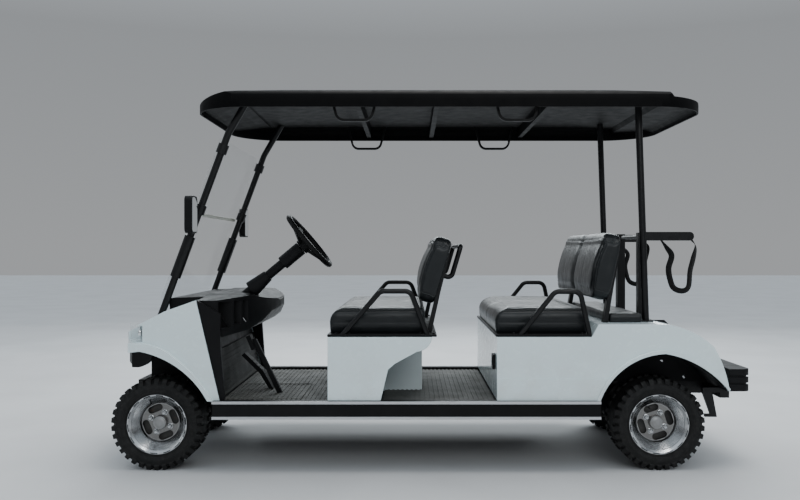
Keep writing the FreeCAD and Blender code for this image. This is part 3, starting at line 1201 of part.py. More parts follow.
def build():
    """Make every node."""
    wheels()
    front_axle()
    export("knuckle_left", knuckle(-1))
    export("knuckle_right", knuckle(1))
    tie_rod()
    rear_axle()
    chassis_frame()
    leaf_springs()
    floor_pan()
    floor_mats()
    sills()
    cowl = front_cowl()
    export("front_cowl", cowl)
    headlights()
    front_bumper(cowl)
    dash_shape = dash()
    export("dash", dash_shape)
    pedals()
    steering_column(dash_shape)
    steering_wheel()
    front_pod()
    seats()
    rear_body()
    wheel_liners()
    bag_well()
    rear_fittings()
    roof_shape = roof()
    export("roof", roof_shape)
    front_struts(roof_shape)
    windshield()
    bag_rack(rear_struts(roof_shape))
    roof_handles(roof_shape)
    mirrors()


build()
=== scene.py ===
"""Four-seat golf cart: finishes, upholstery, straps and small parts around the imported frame."""
import math

import bmesh
import bpy
import numpy as np
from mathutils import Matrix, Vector, noise
from mathutils.bvhtree import BVHTree


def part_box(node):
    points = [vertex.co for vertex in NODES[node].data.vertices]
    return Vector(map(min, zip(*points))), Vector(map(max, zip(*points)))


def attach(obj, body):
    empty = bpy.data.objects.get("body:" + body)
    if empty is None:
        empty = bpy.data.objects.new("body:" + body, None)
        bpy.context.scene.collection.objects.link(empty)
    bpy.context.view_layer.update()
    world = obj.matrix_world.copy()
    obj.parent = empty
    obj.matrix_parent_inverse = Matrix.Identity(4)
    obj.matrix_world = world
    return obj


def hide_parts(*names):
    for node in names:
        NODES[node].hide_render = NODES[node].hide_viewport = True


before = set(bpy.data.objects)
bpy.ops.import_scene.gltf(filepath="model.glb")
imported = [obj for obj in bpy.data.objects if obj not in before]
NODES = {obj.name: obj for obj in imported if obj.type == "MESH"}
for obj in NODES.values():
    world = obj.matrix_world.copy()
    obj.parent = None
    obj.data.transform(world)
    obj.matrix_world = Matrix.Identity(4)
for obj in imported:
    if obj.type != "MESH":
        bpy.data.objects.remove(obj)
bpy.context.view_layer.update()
MM = 0.001
WELD_REACH = 0.02 * MM

# The photograph's view, in the 800 x 500 frame
PHOTO_WIDTH = 800
PHOTO_HEIGHT = 500
VANISHING_X = 411
VANISHING_Y = 250
FOCAL_PX = 818
CAMERA_PLACE = Vector((-0.073, -4.49, 1.068))
SENSOR_WIDTH = 36.0
FLOOR_REACH = 30

SIDES = (("left", -1), ("right", 1))


def set_camera():
    """A level camera square to the cart's left side."""
    data = bpy.data.cameras.new("camera")
    data.sensor_width = SENSOR_WIDTH
    data.lens = FOCAL_PX / PHOTO_WIDTH * SENSOR_WIDTH
    data.shift_x = -(VANISHING_X - PHOTO_WIDTH / 2) / PHOTO_WIDTH
    data.shift_y = (VANISHING_Y - PHOTO_HEIGHT / 2) / PHOTO_WIDTH
    camera = bpy.data.objects.new("camera", data)
    bpy.context.scene.collection.objects.link(camera)
    camera.location = CAMERA_PLACE
    camera.rotation_euler = (math.radians(90), 0, 0)
    bpy.context.scene.camera = camera


def area_light(name, place, aim, size, power, colour):
    """A soft rectangular light at a place, turned to a point."""
    data = bpy.data.lights.new(name, "AREA")
    data.shape = "RECTANGLE"
    data.size, data.size_y = size
    data.energy = power
    data.color = colour
    lamp = bpy.data.objects.new(name, data)
    bpy.context.scene.collection.objects.link(lamp)
    lamp.location = place
    lamp.rotation_euler = (Vector(aim) - Vector(place)).to_track_quat("-Z", "Y").to_euler()


def set_studio():
    """Soft studio light: a sky bright overhead and dim at the sides, three wide lamps and a pale floor."""
    world = bpy.data.worlds.new("studio")
    world.use_nodes = True
    tree = world.node_tree
    background = tree.nodes["Background"]
    coords = tree.nodes.new("ShaderNodeTexCoord")
    split = tree.nodes.new("ShaderNodeSeparateXYZ")
    tree.links.new(coords.outputs["Generated"], split.inputs["Vector"])
    sky = tree.nodes.new("ShaderNodeValToRGB")
    stops = sky.color_ramp.elements
    stops[0].position = 0.0
    stops[0].color = (0.36, 0.37, 0.38, 1)
    stops[1].position = 0.7
    stops[1].color = (0.95, 1.05, 1.14, 1)
    middle = stops.new(0.25)
    middle.color = (0.3, 0.315, 0.33, 1)
    tree.links.new(split.outputs["Z"], sky.inputs["Fac"])
    tree.links.new(sky.outputs["Color"], background.inputs["Color"])
    bpy.context.scene.world = world
    area_light("overhead", place=(0.6, 0.2, 5.6), aim=(0.2, 0, 0.6), size=(5, 3), power=270,
               colour=(1, 0.99, 0.97))
    area_light("behind", place=(0.5, 5.6, 3.7), aim=(0.1, 0, 0.5), size=(7, 1.8), power=230,
               colour=(0.9, 0.97, 1))
    area_light("front_fill", place=(1.2, -6.4, 3.6), aim=(0.2, 0, 0.4), size=(4, 1.6), power=90,
               colour=(0.96, 0.99, 1))
    reach = FLOOR_REACH
    mesh = bpy.data.meshes.new("floor")
    mesh.from_pydata([(-reach, -reach, 0), (reach, -reach, 0), (reach, reach, 0), (-reach, reach, 0)], [],
                     [(0, 1, 2, 3)])
    floor = bpy.data.objects.new("floor", mesh)
    bpy.context.scene.collection.objects.link(floor)
    mesh.materials.append(floor_paint())


# The levels that noise mostly lies between
NOISE_SPAN = (0.3, 0.7)


class Finish:
    """A node material: a Principled shader, with helpers that feed its sockets from patterns."""

    def __init__(self, name, colour, roughness, metallic=0.0):
        self.material = bpy.data.materials.new(name)
        self.material.use_nodes = True
        self.tree = self.material.node_tree
        self.shader = self.tree.nodes["Principled BSDF"]
        self.shader.inputs["Base Color"].default_value = (*colour, 1)
        self.shader.inputs["Roughness"].default_value = roughness
        self.shader.inputs["Metallic"].default_value = metallic
        self.normal = None

    def node(self, kind, **inputs):
        """A new node, its sockets set by name."""
        made = self.tree.nodes.new(kind)
        for name, value in inputs.items():
            made.inputs[name.replace("_", " ")].default_value = value
        return made

    def link(self, source, target):
        """Join an output to a socket."""
        self.tree.links.new(source, target)

    def place(self, scale=(1, 1, 1), shift=(0, 0, 0)):
        """The object's own coordinates, in metres, scaled per axis."""
        coords = self.tree.nodes.new("ShaderNodeTexCoord")
        mapping = self.node("ShaderNodeMapping", Scale=scale, Location=shift)
        self.link(coords.outputs["Object"], mapping.inputs["Vector"])
        return mapping.outputs["Vector"]

    def noise(self, scale, detail=4.0, stretch=(1, 1, 1), distortion=0.0):
        """Fractal noise, its scale counted per metre."""
        made = self.node("ShaderNodeTexNoise", Scale=scale, Detail=detail, Distortion=distortion)
        self.link(self.place(stretch), made.inputs["Vector"])
        return made.outputs["Fac"]

    def cells(self, scale):
        """The distance to the edge of irregular cells, as in a leathery grain."""
        made = self.node("ShaderNodeTexVoronoi", Scale=scale)
        made.feature = "DISTANCE_TO_EDGE"
        self.link(self.place(), made.inputs["Vector"])
        return made.outputs["Distance"]

    def ramp(self, source, low, high, first=0.0, last=1.0):
        """Map a value between two levels onto another pair of levels."""
        made = self.node("ShaderNodeMapRange")
        for name, value in (("From Min", low), ("From Max", high), ("To Min", first), ("To Max", last)):
            made.inputs[name].default_value = value
        self.link(source, made.inputs["Value"])
        return made.outputs["Result"]

    def height(self):
        """The object's own Z, in metres."""
        split = self.tree.nodes.new("ShaderNodeSeparateXYZ")
        self.link(self.place(), split.inputs["Vector"])
        return split.outputs["Z"]

    def math(self, kind, first, second):
        """One step of arithmetic on two numbers or outputs."""
        made = self.tree.nodes.new("ShaderNodeMath")
        made.operation = kind
        for number, value in enumerate((first, second)):
            if isinstance(value, (int, float)):
                made.inputs[number].default_value = value
            else:
                self.link(value, made.inputs[number])
        return made.outputs["Value"]

    def tint(self, factor, colour):
        """Blend the base colour towards another one."""
        socket = self.shader.inputs["Base Color"]
        mix = self.tree.nodes.new("ShaderNodeMix")
        mix.data_type = "RGBA"
        self.link(factor, mix.inputs["Factor"])
        if socket.links:
            self.link(socket.links[0].from_socket, mix.inputs["A"])
        else:
            mix.inputs["A"].default_value = socket.default_value
        mix.inputs["B"].default_value = (*colour, 1)
        self.link(mix.outputs["Result"], socket)
        return self

    def mottle(self, pattern, levels, share, colour):
        """Patches of another colour: noise of a scale and detail, from a low level up to a high one."""
        return self.tint(self.ramp(self.noise(*pattern), *levels, 0.0, share), colour)

    def roughen(self, source, low, high):
        """Let a pattern move the roughness between two values."""
        self.link(self.ramp(source, *NOISE_SPAN, low, high), self.shader.inputs["Roughness"])
        return self

    def bump(self, source, distance, strength=1.0):
        """Add relief from a pattern, its height in metres."""
        made = self.node("ShaderNodeBump", Strength=strength, Distance=distance)
        self.link(source, made.inputs["Height"])
        if self.normal:
            self.link(self.normal, made.inputs["Normal"])
        self.normal = made.outputs["Normal"]
        self.link(self.normal, self.shader.inputs["Normal"])
        return self

    def set(self, **values):
        """Set plain sockets of the shader."""
        for name, value in values.items():
            self.shader.inputs[name.replace("_", " ")].default_value = value
        return self


def shade(colour, factor, lift=0.0):
    """A colour made brighter or darker."""
    return tuple(channel * factor + lift for channel in colour)


# Heights in metres: where road dust on the body ends, and where painted shade darkens the mats as they climb
DUST_FULL_Z = 0.34
DUST_END_Z = 0.62
MAT_TURN_Z = 0.345
MAT_SHADE_Z = 0.36

# Radii in metres where the painted shade on a rim's recessed dish ends and its lip keeps the bright alloy
# colour, and its turning marks' radians a metre
SHADED_DISH_RADIUS = 0.088
LIP_RADIUS = 0.1
TURNING_MARKS = 5200


def floor_paint():
    """The studio's pale floor."""
    finish = Finish("floor_paint", (0.55, 0.555, 0.56), 0.75)
    finish.mottle((1.4, 6), (0.4, 0.7), 1.0, (0.5, 0.505, 0.51))
    return finish.bump(finish.noise(160, 3), 0.0006, 0.3).material


def white_paint():
    """Glossy cool-white moulded body, with a little road dust low down."""
    finish = Finish("white_paint", (0.71, 0.82, 0.84), 0.26)
    finish.set(Coat_Weight=0.5, Coat_Roughness=0.12)
    finish.mottle((2.2, 5), (0.35, 0.75), 0.5, (0.63, 0.74, 0.765))
    low = finish.ramp(finish.height(), DUST_FULL_Z, DUST_END_Z, 1.0, 0.0)
    dust = finish.math("MULTIPLY", low, finish.ramp(finish.noise(9, 8), 0.42, 0.75, 0.0, 0.4))
    finish.tint(dust, (0.5, 0.49, 0.46))
    finish.roughen(finish.noise(30, 3), 0.2, 0.3)
    return finish.bump(finish.noise(260, 2), 0.00012, 0.5).material


def black_coat():
    """Satin powder coat on the tubes and struts."""
    finish = Finish("black_coat", (0.004, 0.004, 0.0045), 0.38)
    finish.set(Specular_IOR_Level=0.28)
    finish.mottle((14, 6), (0.5, 0.8), 0.5, (0.012, 0.012, 0.0125))
    finish.roughen(finish.noise(40, 3), 0.3, 0.45)
    return finish.bump(finish.noise(700, 2), 0.00012, 0.6).material


def black_plastic(name="black_plastic", colour=(0.0055, 0.0055, 0.006), rough=(0.42, 0.56), grain=520,
                  shine=0.13):
    """Moulded plastic with a fine leathery grain and faint dust."""
    finish = Finish(name, colour, 0.5)
    finish.set(Specular_IOR_Level=shine)
    finish.mottle((5, 7), (0.45, 0.8), 0.45, shade(colour, 2.2, 0.002))
    finish.roughen(finish.noise(18, 4), *rough)
    finish.bump(finish.cells(grain), 0.00018, 0.5)
    return finish.bump(finish.noise(3.2, 2), 0.002, 0.15).material


def vinyl(name="vinyl", colour=(0.0075, 0.009, 0.01)):
    """Dark green-grey seat vinyl: fine pebble grain, soft creases and worn highlights."""
    finish = Finish(name, colour, 0.4)
    finish.set(Specular_IOR_Level=0.32)
    finish.mottle((6, 6), (0.4, 0.75), 0.6, shade(colour, 1.55))
    finish.mottle((55, 5), (0.52, 0.8), 0.35, shade(colour, 0.5))
    finish.roughen(finish.noise(22, 4), 0.3, 0.42)
    finish.bump(finish.cells(620), 0.00028, 0.55)
    return finish.bump(finish.noise(26, 4, distortion=0.6), 0.0016, 0.25).material


def mat_rubber():
    """Ribbed floor rubber, dusty on the floor, with painted shade making it darker where it climbs."""
    finish = Finish("mat_rubber", (0.06, 0.06, 0.054), 0.75)
    finish.mottle((7, 8), (0.4, 0.7), 0.7, (0.1, 0.098, 0.088))
    finish.mottle((160, 3), (0.55, 0.75), 0.5, (0.11, 0.106, 0.095))
    # painted shade: the mat turns near black where it climbs the toe board
    finish.tint(finish.ramp(finish.height(), MAT_TURN_Z, MAT_SHADE_Z, 0.0, 0.85), (0.012, 0.012, 0.012))
    finish.roughen(finish.noise(12, 4), 0.66, 0.86)
    return finish.bump(finish.noise(420, 3), 0.0005, 0.6).material


def tyre_rubber():
    """Tyre rubber, greyed by dust in patches all over."""
    finish = Finish("tyre_rubber", (0.006, 0.006, 0.006), 0.7)
    finish.set(Specular_IOR_Level=0.3)
    finish.mottle((16, 8), (0.42, 0.72), 0.65, (0.014, 0.0135, 0.013))
    finish.mottle((90, 4), (0.5, 0.72), 0.4, (0.028, 0.026, 0.024))
    finish.roughen(finish.noise(30, 4), 0.62, 0.86)
    return finish.bump(finish.noise(380, 4), 0.0006, 0.7).material


def alloy(name, centre=None):
    """Machined bright alloy; with a centre given, its face has turning marks and its recessed dish is tinted
    dark as painted shade.
    """
    finish = Finish(name, (0.5, 0.51, 0.52), 0.2, 1.0)
    finish.mottle((24, 6), (0.45, 0.75), 0.35, (0.4, 0.405, 0.41))
    finish.roughen(finish.noise(60, 4), 0.16, 0.27)
    if centre is not None:
        split = finish.tree.nodes.new("ShaderNodeSeparateXYZ")
        finish.link(finish.place(shift=(-centre[0], 0, -centre[2])), split.inputs["Vector"])
        square = finish.math("ADD", finish.math("MULTIPLY", split.outputs["X"], split.outputs["X"]),
                             finish.math("MULTIPLY", split.outputs["Z"], split.outputs["Z"]))
        radius = finish.math("SQRT", square, 0)
        rings = finish.math("SINE", finish.math("MULTIPLY", radius, TURNING_MARKS), 0)
        finish.bump(rings, 0.00004, 0.4)
        # painted shade: the dish inside the lip is tinted dark, standing in for the shade in the rim's recess
        finish.tint(finish.ramp(radius, SHADED_DISH_RADIUS, LIP_RADIUS, 1.0, 0.0), (0.19, 0.185, 0.18))
    return finish.bump(finish.noise(240, 2), 0.00003, 0.3).material


def grey_metal():
    """The dull grey centre caps."""
    finish = Finish("cap_grey", (0.3, 0.3, 0.3), 0.42, 0.6)
    finish.mottle((30, 6), (0.45, 0.75), 0.6, (0.2, 0.19, 0.18))
    return finish.bump(finish.noise(300, 3), 0.0001, 0.4).material


def pale_seal():
    """The yellowed clear strip at the windshield's fold."""
    finish = Finish("pale_seal", (0.5, 0.5, 0.4), 0.35)
    finish.set(Alpha=0.75)
    finish.mottle((20, 6), (0.4, 0.7), 0.6, (0.36, 0.36, 0.3))
    return finish.bump(finish.noise(200, 3), 0.0002, 0.4).material


def brushed_trim(name):
    """Bright metal brushed along its length."""
    finish = Finish(name, (0.6, 0.61, 0.63), 0.3, 1.0)
    finish.roughen(finish.noise(60, 4, stretch=(0.1, 4, 4)), 0.24, 0.46)
    finish.mottle((4, 7), (0.5, 0.8), 0.6, (0.42, 0.41, 0.4))
    return finish.bump(finish.noise(300, 2, stretch=(0.04, 3, 3)), 0.00015, 0.5).material


def axle_paint():
    """Black chassis paint with grey road dust and a little rust."""
    finish = Finish("axle_paint", (0.022, 0.021, 0.02), 0.6)
    finish.mottle((11, 8), (0.45, 0.7), 0.7, (0.075, 0.07, 0.062))
    finish.mottle((28, 8), (0.62, 0.78), 0.6, (0.1, 0.045, 0.02))
    finish.roughen(finish.noise(24, 4), 0.5, 0.8)
    return finish.bump(finish.noise(180, 5), 0.0006, 0.6).material


def spring_steel():
    """Dark steel with patches of rust."""
    finish = Finish("spring_steel", (0.12, 0.12, 0.125), 0.5, 0.7)
    finish.mottle((30, 8), (0.5, 0.72), 0.7, (0.09, 0.05, 0.03))
    return finish.bump(finish.noise(200, 5), 0.0004, 0.6).material


def clear_pane(name, colour, alpha, rough):
    """Clear sheet: mostly see-through, with gloss and faint wiping marks."""
    finish = Finish(name, colour, rough)
    finish.set(IOR=1.49, Alpha=alpha, Specular_IOR_Level=0.5)
    finish.roughen(finish.noise(7, 7, stretch=(1, 3, 0.6)), rough, rough + 0.05)
    return finish.bump(finish.noise(2.6, 2), 0.0012, 0.2).material


def webbing():
    """Black woven strap."""
    finish = Finish("webbing", (0.005, 0.005, 0.005), 0.85)
    finish.set(Sheen_Weight=0.06, Sheen_Roughness=0.5, Specular_IOR_Level=0.2)
    finish.mottle((60, 5), (0.45, 0.7), 0.5, (0.012, 0.012, 0.012))
    wave = finish.node("ShaderNodeTexWave", Scale=420, Distortion=1.0)
    finish.link(finish.place(), wave.inputs["Vector"])
    return finish.bump(wave.outputs["Fac"], 0.0005, 0.7).material


def lamp_red():
    """Ribbed red lamp plastic."""
    finish = Finish("lamp_red", (0.5, 0.012, 0.012), 0.12)
    finish.set(Alpha=0.86, IOR=1.49, Coat_Weight=0.6, Coat_Roughness=0.05)
    wave = finish.node("ShaderNodeTexWave", Scale=90)
    finish.link(finish.place(), wave.inputs["Vector"])
    return finish.bump(wave.outputs["Fac"], 0.0008, 0.5).material


def bright_reflector(name, colour, rough=0.08, relief=0.0006):
    """Silvered metal or glass, faintly faceted."""
    finish = Finish(name, colour, rough, 1.0)
    finish.mottle((18, 5), (0.5, 0.8), 0.3, shade(colour, 0.8))
    return finish.bump(finish.cells(60), relief, 0.5).material


def grey_panel():
    """The moulded box inside the front pod: the white body's colour made a little darker, as painted shade.
    """
    finish = Finish("grey_panel", (0.66, 0.73, 0.74), 0.42)
    finish.mottle((4, 6), (0.4, 0.75), 0.6, (0.58, 0.65, 0.66))
    finish.roughen(finish.noise(26, 4), 0.36, 0.5)
    return finish.bump(finish.noise(300, 3), 0.0002, 0.5).material


def paint(mesh, material):
    """Make a material the mesh's only one."""
    mesh.materials.clear()
    mesh.materials.append(material)


# The finishes in use
WHITE = white_paint()
COAT = black_coat()
PLASTIC = black_plastic()
ROOF_PLASTIC = black_plastic("roof_plastic", (0.001, 0.001, 0.0012), (0.5, 0.62), 640, 0.08)
GRIP = black_plastic("grip_plastic", (0.005, 0.005, 0.005), (0.45, 0.58), 900)
VINYL = vinyl()
# The piping wears the seat vinyl made lighter, a painted highlight along the piped edges
PIPING_HIGHLIGHT_VINYL = vinyl("vinyl_piping_highlight", (0.014, 0.016, 0.017))
RUBBER = mat_rubber()
TYRE = tyre_rubber()
TRIM = brushed_trim("brushed_trim")
AXLE = axle_paint()
SPRING = spring_steel()
PANE = clear_pane("clear_pane", (0.6, 0.66, 0.67), 0.07, 0.02)
LENS = clear_pane("lens", (0.7, 0.76, 0.78), 0.2, 0.03)
WEB = webbing()
RED = lamp_red()
REFLECTOR = bright_reflector("bright_reflector", (0.86, 0.87, 0.88))
SHADED_WHITE = grey_panel()
NUT_STEEL = alloy("nut_steel")
CAP_GREY = grey_metal()
BRIGHT_TRIM = brushed_trim("bright_trim")
BULB = bright_reflector("bulb_glass", (0.9, 0.9, 0.86))
MIRROR = bright_reflector("mirror_glass", (0.8, 0.84, 0.86), 0.03, 0.00001)
SEAL = pale_seal()
WHEELS = ("front_left", "front_right", "rear_left", "rear_right")

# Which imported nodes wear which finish
NODE_FINISHES = [
    (WHITE, ["front_cowl", "seat_pod", "rear_body"]),
    # the box inside the front pod wears the white body's colour darkened as painted shade
    (SHADED_WHITE, ["seat_pod_box"]),
    (COAT, ["chassis_frame", "seat_back_frames", "armrests", "handrail", "front_struts", "rear_struts",
            "bag_rack"]),
    (PLASTIC, ["floor_pan", "rockers", "front_bumper", "dash", "steering_column", "seat_bases",
               "wheel_liners", "bag_well", "rear_bumper", "charge_socket", "mirrors", "battery_pack",
               "pedals"]),
    (ROOF_PLASTIC, ["roof"]),
    (GRIP, ["steering_wheel", "roof_handles"]),
    (RUBBER, ["floor_mats"]),
    (TRIM, ["sill_trim"]),
    (AXLE, ["front_axle", "rear_axle", "knuckle_left", "knuckle_right", "tie_rod"]),
    (SPRING, ["leaf_springs"]),
    (PANE, ["windshield"]),
    (LENS, ["headlights"]),
    (RED, ["taillights"]),
    (WEB, ["bag_straps"]),
    (VINYL, ["front_cushion", "rear_cushion", "front_backrest", "rear_backrest", "deck_pad"]),
    (TYRE, ["tyre_" + where for where in WHEELS]),
]


def finish_nodes():
    """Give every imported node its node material."""
    for material, names in NODE_FINISHES:
        for name in names:
            paint(NODES[name].data, material)
    for where in WHEELS:
        low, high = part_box("tyre_" + where)
        paint(NODES["rim_" + where].data, alloy("alloy_" + where, (low + high) / 2))


# How wide the nodes' edges are rounded, in millimetres
SOFT_EDGES = [(7, ["front_cowl", "seat_pod", "rear_body", "seat_pod_box"]),
              (5, ["dash", "front_bumper", "roof"]),
              (2.5, ["rockers", "rear_bumper", "mirrors", "seat_bases", "bag_well", "battery_pack"]),
              (1.2, ["floor_pan", "wheel_liners", "pedals", "taillights", "headlights", "charge_socket"])]
SHARP_ANGLE = 35
FLAT_ANGLE = 1


def soften(piece, width, segments=2):
    """Round a piece's sharp edges."""
    bevel = piece.modifiers.new("bevel", "BEVEL")
    bevel.width = width
    bevel.segments = segments
    bevel.limit_method = "ANGLE"
    bevel.angle_limit = math.radians(SHARP_ANGLE)
    bevel.harden_normals = True


def soften_nodes():
    """Round the sharp edges of the moulded and pressed nodes."""
    for width, names in SOFT_EDGES:
        for name in names:
            node = NODES[name]
            node.modifiers.new("weld", "WELD").merge_threshold = WELD_REACH
            flat = node.modifiers.new("flat", "DECIMATE")
            flat.decimate_type = "DISSOLVE"
            flat.angle_limit = math.radians(FLAT_ANGLE)
            soften(node, width * MM, segments=3)


def add_piece(name, data, material, body="chassis"):
    """Link a new piece and let it ride a body."""
    piece = bpy.data.objects.new(name, data)
    bpy.context.scene.collection.objects.link(piece)
    paint(data, material)
    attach(piece, body)
    return piece


def evaluated_mesh(piece):
    """The piece's mesh with its modifiers applied."""
    depsgraph = bpy.context.evaluated_depsgraph_get()
    return bpy.data.meshes.new_from_object(piece.evaluated_get(depsgraph))


def bake(piece, kind, **settings):
    """Add one modifier and apply it to the piece's mesh."""
    modifier = piece.modifiers.new(kind.lower(), kind)
    for name, value in settings.items():
        setattr(modifier, name, value)
    piece.data = evaluated_mesh(piece)
    piece.modifiers.clear()


def read_points(mesh):
    """Every vertex's place and normal, as arrays."""
    count = len(mesh.vertices)
    places = np.empty(count * 3)
    normals = np.empty(count * 3)
    mesh.vertices.foreach_get("co", places)
    mesh.vertex_normals.foreach_get("vector", normals)
    return places.reshape(-1, 3), normals.reshape(-1, 3)


def write_points(mesh, places):
    """Move every vertex to its new place."""
    mesh.vertices.foreach_set("co", places.ravel())
    mesh.update()


def press(mesh, distance, depth, width, where):
    """A soft groove along the places where a distance function is near zero, faded by a share."""
    places, normals = read_points(mesh)
    fall = np.exp(-(distance(places) / width) ** 2) * depth * where(places, normals)
    write_points(mesh, places - normals * fall[:, None])


def faded(values, full):
    """A share that rises from none at zero to all at a full value."""
    return np.clip(values / full, 0, 1)


def crumple(mesh, scale, depth, seed):
    """Slow uneven swelling of a skin; the seed picks the place in the noise."""
    places, normals = read_points(mesh)
    shift = Vector((seed, seed * 0.7, -seed))
    waves = np.array([noise.noise(Vector(place) * scale + shift) for place in places])
    write_points(mesh, places + normals * (waves * depth)[:, None])


# Swelling the seats' skins
CLOTH_FRAMES = 16
CLOTH_QUALITY = 4
CLOTH_PRESSURE = 40
CLOTH_MASS = 0.05
LEAST_SWELL = 6 * MM
TINY = 1e-9


def puff(piece, held, cap):
    """Swell a closed skin as cloth under pressure, some points held and none moved past the cap."""
    mesh = piece.data
    before, normals = read_points(mesh)
    fixed = held(before)
    group = piece.vertex_groups.new(name="held")
    group.add([int(number) for number in np.nonzero(fixed)[0]], 1.0, "REPLACE")
    cloth = piece.modifiers.new("cloth", "CLOTH")
    cloth.settings.quality = CLOTH_QUALITY
    cloth.settings.use_pressure = True
    cloth.settings.uniform_pressure_force = CLOTH_PRESSURE
    cloth.settings.mass = CLOTH_MASS
    cloth.settings.effector_weights.gravity = 0
    cloth.settings.vertex_group_mass = group.name
    cloth.point_cache.frame_start = 1
    cloth.point_cache.frame_end = CLOTH_FRAMES
    for frame_number in range(1, CLOTH_FRAMES + 1):
        bpy.context.scene.frame_set(frame_number)
    after = read_points(evaluated_mesh(piece))[0]
    piece.modifiers.clear()
    piece.vertex_groups.clear()
    bpy.context.scene.frame_set(1)
    step = after - before
    outward = (step * normals).sum(axis=1)
    step += normals * np.maximum(LEAST_SWELL - outward, 0)[:, None]
    length = np.maximum(np.linalg.norm(step, axis=1), TINY)
    step *= np.minimum(1, cap / length)[:, None]
    write_points(mesh, before + step)
    bake(piece, "SMOOTH", factor=0.5, iterations=3)


SEAT_GAP = 0.4 * MM


def skin_of(node, voxel, inset, towards, held, cap):
    """An even skin inside a soft node's solid, seated against its support and swollen."""
    piece = bpy.data.objects.new(node + "_skin", NODES[node].data.copy())
    bpy.context.scene.collection.objects.link(piece)
    bake(piece, "REMESH", mode="VOXEL", voxel_size=voxel)
    places, normals = read_points(piece.data)
    write_points(piece.data, places - normals * inset + np.array(towards) * (inset - SEAT_GAP))
    puff(piece, held, cap)
    bake(piece, "SUBSURF", levels=1)
    paint(piece.data, VINYL)
    piece.data.shade_smooth()
    return piece


def seat_piece(piece, node):
    """The finished skin takes the place of its soft node."""
    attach(piece, "chassis")
    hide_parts(node)


TREES = {}


def tree_of(mesh):
    """A mesh made ready for rays."""
    return BVHTree.FromPolygons([vertex.co for vertex in mesh.vertices],
                                [face.vertices for face in mesh.polygons])


def ring_on(mesh, centre, first, second, turns):
    """Points of a skin met by rays from a centre, in the plane of two directions, at turns in degrees."""
    tree = tree_of(mesh)
    points = []
    for turn in turns:
        ray = first * math.cos(math.radians(turn)) + second * math.sin(math.radians(turn))
        hit = tree.ray_cast(centre, ray)[0]
        if hit is not None:
            points.append(hit)
    return points


def cord_along(name, points, radius, material, closed=False, body="chassis"):
    """A thin round piping or wire through the points."""
    data = bpy.data.curves.new(name, "CURVE")
    data.dimensions = "3D"
    data.bevel_depth = radius
    data.bevel_resolution = 3
    data.use_fill_caps = True
    spline = data.splines.new("POLY")
    spline.points.add(len(points) - 1)
    for point, place in zip(spline.points, points):
        point.co = (*place, 1)
    spline.use_cyclic_u = closed
    return add_piece(name, data, material, body)


# Upholstery: the turns, in degrees, are where the piping's ring is sampled
PIPING = 3.2 * MM
SEAT_INSET = 7 * MM
SEAT_CAP = 12 * MM
CUSHION_TURNS = range(-12, 193, 2)
BACK_TURNS = range(-112, 113, 2)
FINE_SCALE = 24
FINE_DEPTH = 0.7 * MM
FINE_SEED = 3
FACING_REAR = 0.9


def wrinkle(mesh, scale, depth, seed):
    """Broad waves and fine creases over a seat's skin."""
    crumple(mesh, scale, depth, seed)
    crumple(mesh, FINE_SCALE, FINE_DEPTH, seed + FINE_SEED)


def upholster_cushion(node, seed):
    """A crowned cushion with a bullnose front, its side panels piped to the wrapped top."""
    low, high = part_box(node)
    base = low.z + 14 * MM
    piece = skin_of(node, voxel=9.5 * MM, inset=SEAT_INSET, towards=(0, 0, -1),
                    held=lambda places: places[:, 2] < base, cap=SEAT_CAP)
    mesh = piece.data
    half = high.y
    edge = half - 20 * MM
    seam_z = low.z + 52 * MM
    ring_z = (low.z + high.z) / 2 - 20 * MM

    def sides(places, normals):
        return faded(np.abs(places[:, 1]) - (half - 45 * MM), 20 * MM) * (np.abs(normals[:, 1]) > 0.5)

    def above(places, normals):
        return faded(places[:, 2] - base, 20 * MM)

    press(mesh, lambda places: np.abs(places[:, 1]) - edge, depth=3 * MM, width=8 * MM, where=above)
    press(mesh, lambda places: places[:, 2] - seam_z, depth=2.5 * MM, width=8 * MM, where=sides)
    press(mesh, lambda places: places[:, 1], depth=3 * MM, width=12 * MM, where=above)
    wrinkle(mesh, scale=7, depth=2.4 * MM, seed=seed)
    for name, side in SIDES:
        centre = Vector(((low.x + high.x) / 2, side * edge, ring_z))
        points = ring_on(mesh, centre, Vector((-1, 0, 0)), Vector((0, 0, 1)), CUSHION_TURNS)
        cord_along(node + "_piping_" + name, points, PIPING, PIPING_HIGHLIGHT_VINYL)
    seat_piece(piece, node)


def back_directions(node):
    """The directions behind and up a leaned seat back, from the flat face behind it."""
    behind = Vector((0, 0, 0))
    for face in NODES[node].data.polygons:
        if face.normal.x > FACING_REAR:
            behind += face.normal * face.area
    behind.y = 0
    behind.normalize()
    return behind, Vector((-behind.z, 0, behind.x))


